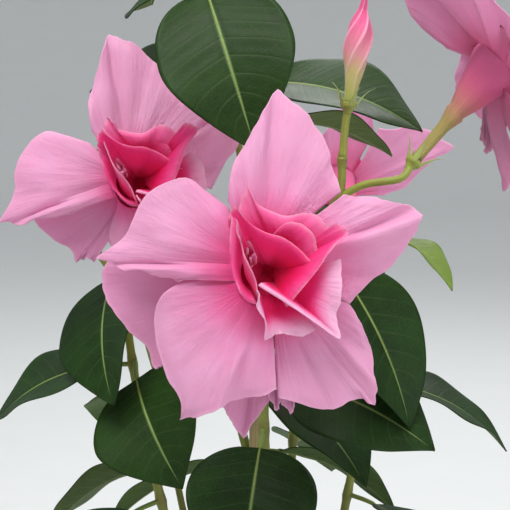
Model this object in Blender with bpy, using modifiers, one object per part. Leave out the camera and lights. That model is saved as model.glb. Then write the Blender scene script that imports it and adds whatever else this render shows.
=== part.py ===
"""A double-flowered mandevilla in a plain clay pot: pot, soil, cane, leafy shoots, leaves, corollas and buds.

Metres, +Z up, the front of the plant towards -Y. The origin is in the middle of the pot's flat underside.
Lengths below are millimetres, turned into metres where a shape is made.
"""

import math
import random

import bmesh
import bpy
from mathutils import Matrix, Vector, noise

MM = 0.001
GAP = 0.3  # between two pieces that touch on the plant
TUBE_SEAT = 0.75  # between the middle of a corolla's slanting end and its calyx

# Pot
POT_HEIGHT = 125.0
POT_RIM_RADIUS = 76.0
POT_FOOT_RADIUS = 50.0
POT_COLLAR_HEIGHT = 26.0
POT_COLLAR_STEP = 3.5
POT_COLLAR_DRAFT = 1.0  # how much narrower the collar is at its lower edge
POT_WALL = 6.0
POT_INNER_TOP_RADIUS = POT_RIM_RADIUS - POT_WALL - 1.0
POT_FLOOR = 8.0
POT_FLOOR_FILLET = 4.0
POT_EDGE = 1.5  # width of the bevels round its rim, collar and foot
POT_SIDES = 32

# Soil and cane
SOIL_LEVEL = 112.0
SOIL_LUMP = 2.4
SOIL_EDGE_DROP = 1.5
SOIL_SIDES = 24
SOIL_ROOM = GAP + 0.6  # to the pot's wall, wide enough for the flats of its sides
CANE_RADIUS = 2.6
CANE_TOP = 342.0
CANE_AT = (0.0, 10.0)
PLANTED_TO = 78.0  # how deep the shoots and the cane reach

# Shoots
STEM_SIDES = 6
STEM_STEP = 13.0  # length of stem between two rings
PEDICEL_RADIUS = 1.25
TWINE_RADIUS = CANE_RADIUS + 3.0
TWINE_PITCH = 92.0
TWINE_START = 105.0  # bearing of the vine on the cane at the soil, in degrees
TWINE_LEAVES_CANE_AT = 322.0
HOLE_ROOM = 1.2  # between a stem and the wall of its hole in the soil

# Leaves
LEAF_THICKNESS = 2.0  # at the petiole, thinning into the blade
BLADE_SHARE = 0.42  # of that thickness
PETIOLE = 9.0
PETIOLE_HALF_WIDTH = 1.0
LEAF_FOLD = 0.16  # rise of the margin over its distance from the midrib
BLADE_ROWS = (0.0, 0.13, 0.33, 0.56, 0.8, 1.0)

# Corollas: a tube that widens into a bell, with lobes round its mouth
PETAL_THICKNESS = 0.75
TUBE_LENGTH = 45.0
TUBE_RADIUS = 2.0
TUBE_SIDES = 10
BELL = ((-45.0, 2.0), (-30.0, 2.4), (-23.0, 4.2), (-16.0, 6.6), (-8.0, 8.9), (-1.0, 11.3))  # depth, radius
BELL_WALL = 1.8
BELL_BOTTOM = -25.0
TUBE_LEAN = 0.2  # how far the tube leans aside for its depth

# Calyx and buds
CALYX_HEIGHT = 3.0
CALYX_RADIUS = 3.3
SEPALS = 5
SEPAL_LENGTH = 9.0
SEPAL_RADIUS = 0.75
SEPAL_TIP_RADIUS = 0.15
SEPAL_LEAN = 24.0  # degrees
BUD_LENGTH = 40.0
BUD_RADIUS = 4.4
BUD_TWIST = 200.0  # degrees, for its whole length
BUD_TWIST_FROM = 0.25  # share of the length where the twist begins
BUD_TAPER_FROM = 0.6
BUD_GROOVE = 0.14  # share of the radius, between the five rolled lobes
BUD_RINGS = 8
BUD_SIDES = 10


def rgb(red, green, blue):
    return (red, green, blue, 1.0)


CLAY = ("clay", rgb(0.56, 0.27, 0.16), 0.85)
EARTH = ("earth", rgb(0.06, 0.04, 0.03), 0.95)
BAMBOO = ("bamboo", rgb(0.55, 0.43, 0.22), 0.6)
STEM_GREEN = ("stem_green", rgb(0.22, 0.30, 0.06), 0.5)
LEAF_GREEN = ("leaf_green", rgb(0.03, 0.11, 0.025), 0.35)
YOUNG_GREEN = ("young_green", rgb(0.22, 0.36, 0.10), 0.4)
PETAL_PINK = ("petal_pink", rgb(0.86, 0.42, 0.62), 0.5)
BUD_PINK = ("bud_pink", rgb(0.80, 0.25, 0.42), 0.5)


def clear_scene():
    for obj in list(bpy.data.objects):
        bpy.data.objects.remove(obj)


def material(finish):
    name, colour, roughness = finish
    made = bpy.data.materials.get(name)
    if made is None:
        made = bpy.data.materials.new(name)
        made.use_nodes = True
        shader = made.node_tree.nodes["Principled BSDF"]
        shader.inputs["Base Color"].default_value = colour
        shader.inputs["Roughness"].default_value = roughness
        made.diffuse_color = colour
    return made


def collection(name):
    found = bpy.data.collections.get(name)
    if found is None:
        found = bpy.data.collections.new(name)
        bpy.context.scene.collection.children.link(found)
    return found


def object_of(name, mesh, finish=None, into="mandevilla"):
    obj = bpy.data.objects.new(name, mesh)
    if finish is not None:
        mesh.materials.clear()
        mesh.materials.append(material(finish))
    collection(into).objects.link(obj)
    return obj


def mesh_of(bm, name):
    mesh = bpy.data.meshes.new(name)
    bm.to_mesh(mesh)
    bm.free()
    mesh.shade_smooth()
    return mesh


def with_modifiers_applied(obj):
    """The object's mesh as its modifiers leave it, in place of the mesh and the modifiers."""
    graph = bpy.context.evaluated_depsgraph_get()
    made = bpy.data.meshes.new_from_object(obj.evaluated_get(graph))
    obj.modifiers.clear()
    obj.data = made
    return obj


def shells(bm):
    """The mesh's points, grouped by the closed surface that they belong to."""
    found = []
    seen = set()
    for first in bm.verts:
        if first in seen:
            continue
        seen.add(first)
        shell = [first]
        for vertex in shell:
            for edge in vertex.link_edges:
                other = edge.other_vert(vertex)
                if other not in seen:
                    seen.add(other)
                    shell.append(other)
        found.append(shell)
    return found


def tidy_after_boolean(obj):
    """Fills the small hollows that a union seals, and dissolves each point that has only two edges.

    Both faces beside such a point could otherwise get the same diagonal.
    """
    bm = bmesh.new()
    bm.from_mesh(obj.data)
    for shell in sorted(shells(bm), key=len)[:-1]:
        bmesh.ops.delete(bm, geom=shell, context="VERTS")
    bmesh.ops.dissolve_verts(bm, verts=[vertex for vertex in bm.verts if len(vertex.link_edges) == 2])
    bmesh.ops.triangulate(bm, faces=bm.faces)
    bm.to_mesh(obj.data)
    bm.free()


def fused(obj, pieces):
    """The object joined with every piece by one Boolean union."""
    others = bpy.data.collections.new(obj.name + "_pieces")
    bpy.context.scene.collection.children.link(others)
    for piece in pieces:
        for home in piece.users_collection:
            home.objects.unlink(piece)
        others.objects.link(piece)
    union = obj.modifiers.new("union", "BOOLEAN")
    union.operation = "UNION"
    union.operand_type = "COLLECTION"
    union.collection = others
    union.solver = "MANIFOLD"
    with_modifiers_applied(obj)
    tidy_after_boolean(obj)
    for piece in pieces:
        bpy.data.objects.remove(piece)
    bpy.data.collections.remove(others)
    return obj


def cut_out(obj, cutter):
    """The cutter's shape taken out of the object."""
    difference = obj.modifiers.new("difference", "BOOLEAN")
    difference.operation = "DIFFERENCE"
    difference.object = cutter
    with_modifiers_applied(obj)
    tidy_after_boolean(obj)
    bpy.data.objects.remove(cutter)
    return obj


def turned(name, profile, steps, finish=None, into="mandevilla"):
    """A solid turned round +Z from (radius, height) points, in mm, that run down its outer side."""
    bm = bmesh.new()
    points = [bm.verts.new((radius * MM, 0.0, height * MM)) for radius, height in profile]
    for first, second in zip(points, points[1:]):
        bm.edges.new((first, second))
    obj = object_of(name, mesh_of(bm, name), finish, into)
    screw = obj.modifiers.new("turn", "SCREW")
    screw.steps = screw.render_steps = steps
    screw.use_merge_vertices = True
    screw.merge_threshold = 0.00001
    return obj


def spline(points, share):
    """The point at a share from 0 to 1 of a smooth curve through the points, which it meets at even shares."""
    last = len(points) - 1
    at = min(max(share, 0.0), 1.0) * last
    i = min(int(at), last - 1)
    t = at - i
    before = points[i - 1] if i > 0 else points[i] * 2 - points[i + 1]
    after = points[i + 2] if i + 2 <= last else points[i + 1] * 2 - points[i]
    a, b = points[i], points[i + 1]
    return 0.5 * (
        a * 2
        + (b - before) * t
        + (before * 2 - a * 5 + b * 4 - after) * t * t
        + (a * 3 - b * 3 + after - before) * t * t * t
    )


class Path:
    """A smooth centreline through points in mm, with a radius that tapers from its first end to its last."""

    def __init__(self, points, first_radius, last_radius, step=STEM_STEP):
        knots = [Vector(p) for p in points]
        length = sum((b - a).length for a, b in zip(knots, knots[1:]))
        count = max(2, round(length / step))
        self.points = [spline(knots, i / count) for i in range(count + 1)]
        self.radii = [
            first_radius + (last_radius - first_radius) * i / count for i in range(count + 1)
        ]

    def at_height(self, height):
        """(point, direction, radius) where the path first reaches a height."""
        for i, (a, b) in enumerate(zip(self.points, self.points[1:])):
            if a.z <= height <= b.z:
                share = (height - a.z) / max(b.z - a.z, 1e-6)
                radius = self.radii[i] + (self.radii[i + 1] - self.radii[i]) * share
                return a.lerp(b, share), (b - a).normalized(), radius
        return self.points[-1], (self.points[-1] - self.points[-2]).normalized(), self.radii[-1]


def tube(name, path, finish=None, into="mandevilla"):
    """A round stem along a path, as a closed mesh."""
    curve = bpy.data.curves.new(name, "CURVE")
    curve.dimensions = "3D"
    curve.bevel_depth = MM
    curve.bevel_resolution = (STEM_SIDES - 4) // 2
    curve.use_fill_caps = True
    line = curve.splines.new("POLY")
    line.points.add(len(path.points) - 1)
    for knot, point, radius in zip(line.points, path.points, path.radii):
        knot.co = (*(point * MM), 1.0)
        knot.radius = radius
    drawn = object_of(name + "_line", curve, None, into)
    bpy.context.view_layer.update()
    graph = bpy.context.evaluated_depsgraph_get()
    mesh = bpy.data.meshes.new_from_object(drawn.evaluated_get(graph))
    bpy.data.objects.remove(drawn)
    bm = bmesh.new()
    bm.from_mesh(mesh)
    bmesh.ops.remove_doubles(bm, verts=bm.verts, dist=0.00001)
    bm.to_mesh(mesh)
    bm.free()
    mesh.shade_smooth()
    return object_of(name, mesh, finish, into)


def facing(direction, spin=0.0):
    """A turn that takes +Z to the direction and keeps +Y as near to up as it can, after a spin in degrees."""
    z = Vector(direction).normalized()
    hint = Vector((0.0, 1.0, 0.0)) if abs(z.z) > 0.95 else Vector((0.0, 0.0, 1.0))
    x = hint.cross(z).normalized()
    turn = Matrix((x, z.cross(x), z)).transposed().to_4x4()
    return turn @ Matrix.Rotation(math.radians(spin), 4, "Z")


# The pot, its soil and the cane


def make_pot():
    rim, foot, top, edge = POT_RIM_RADIUS, POT_FOOT_RADIUS, POT_HEIGHT, POT_EDGE
    under_collar = top - POT_COLLAR_HEIGHT
    collar_foot = rim - POT_COLLAR_DRAFT
    inner_foot = foot - POT_WALL
    profile = [
        (0.0, POT_FLOOR),
        (inner_foot - POT_FLOOR_FILLET, POT_FLOOR),
        (inner_foot, POT_FLOOR + POT_FLOOR_FILLET),
        (POT_INNER_TOP_RADIUS, top - edge),
        (POT_INNER_TOP_RADIUS + edge, top),
        (rim - edge, top),
        (rim, top - edge),
        (collar_foot, under_collar + edge),
        (collar_foot - edge, under_collar),
        (collar_foot - edge - POT_COLLAR_STEP, under_collar - edge),
        (foot, edge),
        (foot - edge, 0.0),
        (0.0, 0.0),
    ]
    return turned("pot", profile, POT_SIDES, CLAY)


def pot_inner_radius(height):
    low, high = POT_FLOOR + POT_FLOOR_FILLET, POT_HEIGHT - POT_EDGE
    share = (height - low) / (high - low)
    foot = POT_FOOT_RADIUS - POT_WALL
    return foot + (POT_INNER_TOP_RADIUS - foot) * share


def stem_hole(path):
    """A round cutter along a stem, from just under its foot to above the soil."""
    foot, _, radius = path.at_height(PLANTED_TO)
    top, _, _ = path.at_height(SOIL_LEVEL + 6.0)
    line = top - foot
    above = 4.0
    bm = bmesh.new()
    bmesh.ops.create_cone(
        bm,
        cap_ends=True,
        segments=10,
        radius1=(radius + HOLE_ROOM) * MM,
        radius2=(radius + HOLE_ROOM) * MM,
        depth=(line.length + GAP + above) * MM,
    )
    turn = line.to_track_quat("Z", "Y").to_matrix().to_4x4()
    centre = foot + line.normalized() * ((line.length + above - GAP) / 2)
    bmesh.ops.transform(bm, matrix=Matrix.Translation(centre * MM) @ turn, verts=bm.verts)
    return object_of("hole", mesh_of(bm, "hole"), None, "cutters")


def make_soil(planted):
    """The root ball and its lumpy top, with a plain hole for each stem that stands in it."""
    edge = pot_inner_radius(SOIL_LEVEL) - SOIL_ROOM
    foot, floor = POT_FLOOR + POT_FLOOR_FILLET + 2.0, POT_FLOOR + GAP
    profile = [(edge * share, SOIL_LEVEL) for share in (0.0, 0.25, 0.5, 0.75)] + [
        (edge, SOIL_LEVEL - SOIL_EDGE_DROP),
        (pot_inner_radius(foot) - SOIL_ROOM, foot),
        (POT_FOOT_RADIUS - POT_WALL - POT_FLOOR_FILLET - 2.0, floor),
        (0.0, floor),
    ]
    soil = with_modifiers_applied(turned("soil", profile, SOIL_SIDES, EARTH))
    for vertex in soil.data.vertices:
        if vertex.co.z > (SOIL_LEVEL - 1.0) * MM:
            lump = noise.noise(vertex.co / (11.0 * MM)) + 0.5 * noise.noise(vertex.co / (5.0 * MM))
            vertex.co.z += SOIL_LUMP * MM * lump
    for path in planted:
        cut_out(soil, stem_hole(path))
    return soil


# Leaves


def blade_half_width(share):
    """Half the blade's width for a half width of 1: broadest below its middle, with a drawn-out tip."""
    widest = 0.44
    if share < widest:
        return math.sqrt(max(0.0, 1.0 - (1.0 - share / widest) ** 2.2))
    past = (share - widest) / (1.0 - widest)
    return math.cos(past * math.pi / 2) ** 0.85 * (1.0 - 0.22 * past * past)


def leaf(name, stem, height, tip, width, arch=7.0, roll=0.0, finish=LEAF_GREEN):
    """One leaf, from a stem at a height to its tip, its upper face turned up and outward."""
    node, along, radius = stem.at_height(height)
    tip = Vector(tip)
    out = tip - node
    out -= along * out.dot(along)
    out.normalize()
    slant = abs((tip - node).normalized().dot(along))
    base = node + out * (radius + GAP + LEAF_THICKNESS / 2 * slant)
    chord = tip - base
    ahead = chord.normalized()
    middle = base.lerp(tip, 0.5)
    open_side = Vector((middle.x, middle.y, 0.0)).normalized() + Vector((0.0, 0.0, 0.75))
    face = (open_side - ahead * open_side.dot(ahead)).normalized()
    face.rotate(Matrix.Rotation(math.radians(roll), 3, ahead))
    across = ahead.cross(face)
    petiole = PETIOLE / chord.length

    bm = bmesh.new()
    bmesh.ops.create_grid(bm, x_segments=2, y_segments=len(BLADE_ROWS), size=1.0)
    thin = {}
    for vertex in bm.verts:
        side = round(vertex.co.x)
        row = round((vertex.co.y + 1.0) / 2.0 * len(BLADE_ROWS))
        blade = BLADE_ROWS[row - 1] if row else 0.0
        share = petiole + (1.0 - petiole) * blade if row else 0.0
        half = max(blade_half_width(blade) * width / 2, PETIOLE_HALF_WIDTH * (1.0 - 0.5 * share))
        lift = arch * 4.0 * share * (1.0 - share) + LEAF_FOLD * half * abs(side)
        vertex.co = (base + chord * share + across * (half * side) + face * lift) * MM
        on_petiole = row < 2
        thin[vertex.index] = 1.0 if on_petiole else 0.8 - 0.4 * blade if side == 0 else BLADE_SHARE
    bm.verts.index_update()
    bmesh.ops.triangulate(bm, faces=bm.faces, quad_method="ALTERNATE")
    bmesh.ops.recalc_face_normals(bm, faces=bm.faces)
    obj = object_of(name, mesh_of(bm, name), finish)
    thickness = obj.vertex_groups.new(name="thickness")
    for index, weight in thin.items():
        thickness.add([index], weight, "REPLACE")
    solid = obj.modifiers.new("thickness", "SOLIDIFY")
    solid.thickness = LEAF_THICKNESS * MM
    solid.offset = 0.0
    solid.vertex_group = "thickness"
    return obj


# Corollas


def bell_radius(depth):
    """The radius of the tube and bell at a depth below the mouth."""
    for (low, a), (high, b) in zip(BELL, BELL[1:]):
        if depth <= high:
            return a + (b - a) * max(0.0, (depth - low) / (high - low))
    return BELL[-1][1]


def wall_middle(depth):
    """The radius that lies deepest inside the faceted bell's wall at a depth."""
    outside = bell_radius(depth)
    inside = outside - BELL_WALL
    return (inside + outside * math.cos(math.pi / TUBE_SIDES)) / 2


class Lobe:
    """One lobe of a corolla, seen from the front with the mouth's middle at 0, 0 and +Z towards the viewer.

    roots are two angles in degrees round the bell, at a depth. left and right are points of the margin in mm
    on both sides of the tip. flare above 1 keeps it upright before it spreads, and rise above 1 bends it
    outward near its root. dome lifts its middle.
    """

    def __init__(self, roots, depth, left, tip, right, flare=1.0, rise=3.0, dome=0.0, ridge=0.0):
        self.roots = roots
        self.depth = depth
        tip = Vector(tip)
        self.left = [Vector(p) for p in left] + [tip]
        self.right = [tip] + [Vector(p) for p in right]
        self.flare = flare
        self.rise = rise
        self.dome = dome
        self.ridge = ridge

    def moved(self, degrees, size, lift):
        """The same lobe with its margin turned round the mouth, sized and lifted, on the same root."""
        turn = Matrix.Rotation(math.radians(degrees), 3, "Z")
        raised = Vector((0.0, 0.0, lift))
        left, right = ([turn @ (p * size) + raised for p in side] for side in (self.left, self.right))
        return Lobe(
            self.roots, self.depth, left[:-1], left[-1], right[1:], self.flare, self.rise, self.dome, self.ridge
        )

    def point(self, u, v):
        """A point of the lobe in mm. u runs along the margin from 0 to 1, and v from the root to the margin."""
        angle = math.radians(self.roots[0] + (self.roots[1] - self.roots[0]) * u)
        radius = wall_middle(self.depth)
        root = Vector((math.cos(angle), math.sin(angle), 0.0)) * radius
        root += Vector((TUBE_LEAN, 0.0, 1.0)) * self.depth
        edge = spline(self.left, u * 2) if u < 0.5 else spline(self.right, u * 2 - 1)
        spread = v**self.flare
        climb = 1.0 - (1.0 - v) ** self.rise
        point = root.lerp(edge, spread)
        point.z = root.z + (edge.z - root.z) * climb
        middle = 1.0 - abs(2 * u - 1)
        point.z += (self.dome * middle + self.ridge * v * middle**4) * math.sin(math.pi * v)
        return point


OUTER_LOBES = (
    Lobe((133, 69), -2, [(-12, 23, 1), (-11.5, 31, 0), (-3.5, 41, -1)], (2, 53.5, -5),
         [(10.5, 47, -4), (17.5, 37.5, -4), (21, 24, -5)], dome=1.5, ridge=-2.0),
    Lobe((66, -17), -2, [(21.5, 22.5, -1), (31, 21, -1), (38, 19.5, -2)], (45.5, 17, -3),
         [(42, 8, -7), (36, -2, -8), (24, -10, -5)], dome=1.0, ridge=4.0),
    Lobe((-20, -83), -2, [(23.5, -9, -1), (28, -20, -2), (30.5, -29, -4)], (31, -40, -6),
         [(23.5, -38, -5), (13.5, -40.5, -5), (2.5, -36.5, -4)], dome=1.5, ridge=-2.0),
    Lobe((-86, -161), -2, [(3, -33, 0), (-4, -35, 0), (-14, -39, -1)], (-27, -44, -4),
         [(-31, -31, -3), (-34, -19, -2), (-30, -7, -1), (-18, -3, -2)], dome=3.0, ridge=2.5),
    Lobe((-164, -224), -2, [(-26, -2, 1), (-36, 0.5, 0), (-43, 2.5, -2)], (-51, 3.5, -5),
         [(-42, 12, -2), (-36, 22.5, -1), (-24, 27.5, 0), (-12.5, 19.5, -1)], dome=4.0, ridge=-2.0),
)
REAR_LOBES = (
    Lobe((-120, -176), -6, [(-27, -31, -12), (-31, -28, -12)], (-35, -29.5, -13),
         [(-37, -22, -12), (-45.5, -14, -11), (-50.5, -4, -10), (-48, 4, -10)], rise=2.0),
    Lobe((-66, -116), -6, [(1, -33, -11), (0, -38, -12)], (-8, -51, -17),
         [(-13, -42, -13), (-16, -34, -12)], rise=2.0),
)
INNER_LOBES = (
    Lobe((118, 42), -10, [(-12, 13, 11), (-11.5, 16, 12)], (-10, 18.5, 12),
         [(-4.5, 12.5, 10), (2, 9.8, 9), (8, 6, 8), (14, 0.5, 7)], flare=2.6, rise=2.0),
    Lobe((114, 34), -5, [(-9, 16, 4), (-8.5, 20, 4)], (-6, 25, 4),
         [(-1, 20, 4.5), (7, 17, 4.5), (15.5, 14, 4.5), (19, 8, 4.5)], flare=1.6, rise=2.0),
    Lobe((38, -14), -10, [(19, 14, 7), (21, 13, 8)], (22, 11, 8.5),
         [(14.5, 4, 9), (8.5, -2.5, 9), (4.5, -6.8, 9)], flare=2.6, rise=2.0),
    Lobe((-18, -68), -10, [(20, 4, 6), (20.5, -5, 7), (19.5, -12, 7)], (19.8, -19, 7),
         [(13, -14, 9), (6, -9, 10), (-2, -4, 10)], flare=2.6, rise=2.0),
    Lobe((-72, -118), -10, [(13.5, -16, 4), (7, -18.5, 5), (2, -17.5, 5)], (-0.5, -19.5, 6),
         [(-2, -13, 10), (-3.5, -7, 11)], flare=2.6, rise=2.0),
    Lobe((-122, -238), -10, [(-3.5, -9.5, 10), (-7.5, -7, 12), (-10, -1.5, 13)], (-11.3, 7, 13.5),
         [(-11, 13, 13), (-10.5, 17, 12)], flare=2.6, rise=2.0),
)


def lobe_mesh(lobe, along, out):
    """A lobe as a closed sheet, from a grid with along faces on its margin and out faces to its root."""
    bm = bmesh.new()
    bmesh.ops.create_grid(bm, x_segments=along, y_segments=out, size=1.0)
    for vertex in bm.verts:
        u, v = (vertex.co.x + 1.0) / 2.0, (vertex.co.y + 1.0) / 2.0
        vertex.co = lobe.point(u, v) * MM
    bmesh.ops.triangulate(bm, faces=bm.faces, quad_method="ALTERNATE")
    obj = object_of("lobe", mesh_of(bm, "lobe"))
    solid = obj.modifiers.new("thickness", "SOLIDIFY")
    solid.thickness = PETAL_THICKNESS * MM
    solid.offset = 0.0
    return with_modifiers_applied(obj)


def bell():
    """The tube and its bell, leaning aside, hollow from the mouth down to the narrow tube."""
    outside = [(radius, depth) for depth, radius in reversed(BELL)]
    inside = [(0.0, BELL_BOTTOM), (TUBE_RADIUS * 0.7, BELL_BOTTOM + 1.0)]
    inside += [(radius - BELL_WALL, depth) for depth, radius in BELL if depth > BELL_BOTTOM]
    obj = with_modifiers_applied(turned("bell", inside + outside + [(0.0, -TUBE_LENGTH)], TUBE_SIDES))
    for vertex in obj.data.vertices:
        vertex.co.x += TUBE_LEAN * vertex.co.z
    return obj


class Bloom:
    """Where one flower stands: its mouth, the way it faces, its spin in degrees, its size and its variety.

    swept gives some lobes a turn in degrees, a size and a lift of their own. The lobes count from the first
    outer lobe through the rear ones to the last inner one.
    """

    def __init__(self, name, mouth, faces, spin, size, seed, swept=None):
        self.name = name
        self.seed = seed
        self.swept = swept or {}
        self.place = Matrix.Translation(Vector(mouth)) @ facing(faces, spin) @ Matrix.Scale(size, 4)

    def lobes(self):
        """Its lobes, each moved a little at random unless the variety is 0."""
        rng = random.Random(self.seed)
        found = []
        for i, lobe in enumerate(OUTER_LOBES + REAR_LOBES + INNER_LOBES):
            degrees, size, lift = rng.uniform(-5.0, 5.0), rng.uniform(0.94, 1.04), rng.uniform(-2.5, 2.0)
            if i in self.swept:
                degrees, size, lift = self.swept[i]
            found.append(lobe.moved(degrees, size, lift) if self.seed else lobe)
        return found

    def tube_end(self):
        return self.place @ Vector((-TUBE_LEAN * TUBE_LENGTH, 0.0, -TUBE_LENGTH))

    def tube_direction(self):
        return (self.place.to_3x3() @ Vector((TUBE_LEAN, 0.0, 1.0))).normalized()


def corolla(bloom):
    """One whole corolla: the bell with its rear, outer and inner lobes fused to it."""
    body = bell()
    body.name = bloom.name
    body.data.materials.clear()
    body.data.materials.append(material(PETAL_PINK))
    grids = [8] * len(OUTER_LOBES) + [4] * len(REAR_LOBES) + [6] * len(INNER_LOBES)
    fused(body, [lobe_mesh(lobe, along, 2) for lobe, along in zip(bloom.lobes(), grids)])
    body.data.transform(scaled_place(bloom.place))
    return body


def scaled_place(place):
    """A place in mm, for a mesh in metres."""
    moved = place.copy()
    moved.translation = place.translation * MM
    return moved


def standing(bottom, direction):
    """A place with its origin at a point and +Z along a direction."""
    return Matrix.Translation(Vector(bottom)) @ Vector(direction).to_track_quat("Z", "Y").to_matrix().to_4x4()


def calyx(bottom, direction):
    """A calyx: a small cup with five narrow sepals, its foot at a point and its mouth along the direction."""
    profile = [(0.0, CALYX_HEIGHT), (CALYX_RADIUS, CALYX_HEIGHT), (PEDICEL_RADIUS + 0.4, 0.0), (0.0, 0.0)]
    pieces = [with_modifiers_applied(turned("calyx", profile, SEPALS))]
    lean = Matrix.Rotation(math.radians(SEPAL_LEAN), 4, "Y")
    root = Matrix.Translation(Vector((CALYX_RADIUS - SEPAL_RADIUS, 0.0, CALYX_HEIGHT / 2)) * MM)
    stand = Matrix.Translation(Vector((0.0, 0.0, SEPAL_LENGTH / 2)) * MM)
    for i in range(SEPALS):
        bm = bmesh.new()
        bmesh.ops.create_cone(
            bm,
            cap_ends=True,
            segments=3,
            radius1=SEPAL_RADIUS * MM,
            radius2=SEPAL_TIP_RADIUS * MM,
            depth=SEPAL_LENGTH * MM,
        )
        round_cup = Matrix.Rotation(2 * math.pi * i / SEPALS, 4, "Z")
        bmesh.ops.transform(bm, matrix=round_cup @ root @ lean @ stand, verts=bm.verts)
        pieces.append(object_of("sepal", mesh_of(bm, "sepal")))
    for piece in pieces:
        piece.data.transform(scaled_place(standing(bottom, direction)))
    return pieces


def bud(name, bottom, direction, size=1.0):
    """A closed bud: a slender spindle of five rolled lobes, twisted to its point."""
    bm = bmesh.new()
    bmesh.ops.create_cone(bm, cap_ends=True, segments=BUD_SIDES, radius1=1.0, radius2=1.0, depth=1.0)
    sides = [edge for edge in bm.edges if abs(edge.verts[0].co.z - edge.verts[1].co.z) > 0.5]
    bmesh.ops.subdivide_edges(bm, edges=sides, cuts=BUD_RINGS - 2, use_grid_fill=False)
    for vertex in bm.verts:
        share = vertex.co.z + 0.5
        angle = math.atan2(vertex.co.y, vertex.co.x)
        radius = TUBE_RADIUS + (BUD_RADIUS - TUBE_RADIUS) * math.sin(math.pi * min(1.0, share * 1.25) ** 1.6)
        if share > BUD_TAPER_FROM:
            radius *= math.cos((share - BUD_TAPER_FROM) / (1.0 - BUD_TAPER_FROM) * math.radians(84.0))
        radius *= 1.0 + BUD_GROOVE * math.cos(5 * angle) * min(1.0, share * 3)
        turn = angle + math.radians(BUD_TWIST) * max(0.0, share - BUD_TWIST_FROM)
        flat = Vector((math.cos(turn), math.sin(turn), 0.0)) * radius
        vertex.co = (flat + Vector((0.0, 0.0, share * BUD_LENGTH))) * (size * MM)
    bmesh.ops.triangulate(bm, faces=bm.faces)
    bmesh.ops.transform(bm, matrix=scaled_place(standing(bottom, direction)), verts=bm.verts)
    return object_of(name, mesh_of(bm, name), BUD_PINK)


# The plant's layout, in mm


def twining_points():
    """The vine: up from the soil round the cane, then off its top, over and forward."""
    points = [(-4.5, 17.5, PLANTED_TO), (-4.1, 16.9, 91.0), (-3.6, 15.9, 104.0)]
    height = SOIL_LEVEL + 4.0
    while height < TWINE_LEAVES_CANE_AT:
        turn = math.radians(TWINE_START + 360.0 * (height - SOIL_LEVEL) / TWINE_PITCH)
        x, y = CANE_AT[0] + TWINE_RADIUS * math.cos(turn), CANE_AT[1] + TWINE_RADIUS * math.sin(turn)
        points.append((x, y, height))
        height += TWINE_PITCH / 9
    return points + [(-7.0, -1.0, 336.0), (-6.0, -13.0, 354.0), (-9.0, -25.0, 373.0), (-19.0, -34.0, 388.0)]


BLOOMS = (
    Bloom("corolla_front", (4.3, -95.7, 295.1), (0.0, -0.990, 0.139), 0.0, 1.0, 0),
    Bloom("corolla_left", (-38.0, -38.0, 317.0), (0.12, -0.98, 0.16), 16.0, 0.97, 3,
          swept={3: (32.0, 0.72, -8.0), 4: (4.0, 1.0, -1.0), 5: (-6.0, 0.78, -1.0), 6: (24.0, 0.7, 0.0)}),
    Bloom("corolla_right", (79.0, -42.0, 356.0), (0.76, 0.18, 0.62), 40.0, 0.94, 5),
    Bloom("corolla_back", (34.0, 92.0, 305.0), (-0.25, 0.93, 0.25), 75.0, 0.98, 8),
)

STEMS = {
    "vine": Path(twining_points(), 2.3, 1.2),
    "front": Path(
        [(10, -7, 78), (10, -12, 112), (9, -19, 150), (6, -29, 195), (3, -38, 235), (6, -40, 268),
         (18, -44, 296), (27, -51, 313), (28, -53, 326)], 2.1, 1.3),
    "left": Path(
        [(-10, -1, 78), (-15, -6, 112), (-23, -13, 150), (-33, -19, 195), (-42, -19, 240), (-47, -10, 272),
         (-48, 2, 292)], 2.1, 1.3),
    "back": Path(
        [(5, 18, 78), (8, 23, 112), (12, 29, 150), (15, 38, 195), (17, 50, 240), (24, 58, 275)], 2.1, 1.3),
    "right": Path(
        [(13, 4, 78), (19, 4, 112), (27, 3, 150), (34, 0, 190), (39, -4, 228), (39, -8, 262), (36, -11, 296)],
        2.0, 1.2),
    "rear_left": Path(
        [(-10, 16, 78), (-16, 21, 112), (-23, 27, 150), (-32, 36, 190), (-39, 44, 228)], 1.9, 1.2),
}

# Flowers: the stem and height they grow from, points their pedicel passes, and the flower itself
FLOWERS = (
    ("front", 262, [(-1, -40, 277)], BLOOMS[0]),
    ("left", 286, [(-48, 8, 300)], BLOOMS[1]),
    ("front", 312, [(35, -54, 317)], BLOOMS[2]),
    ("back", 270, [(30, 58, 288)], BLOOMS[3]),
)
# Buds: the stem and height they grow from, points their pedicel passes, their foot, their direction and size
BUDS = (
    ("bud_front", "front", 325, [], (29.5, -53.5, 340.5), (0.14, -0.05, 1.0), 0.9),
    ("bud_left", "left", 276, [(-56, -6, 287)], (-62, -5, 299), (-0.5, 0.1, 0.85), 0.75),
    ("bud_back", "back", 262, [(14, 60, 280)], (8, 63, 296), (-0.25, 0.15, 0.95), 0.8),
    ("bud_rear_left", "rear_left", 226, [(-43, 46, 240)], (-46, 48, 252), (-0.25, 0.3, 0.92), 0.8),
)

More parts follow.
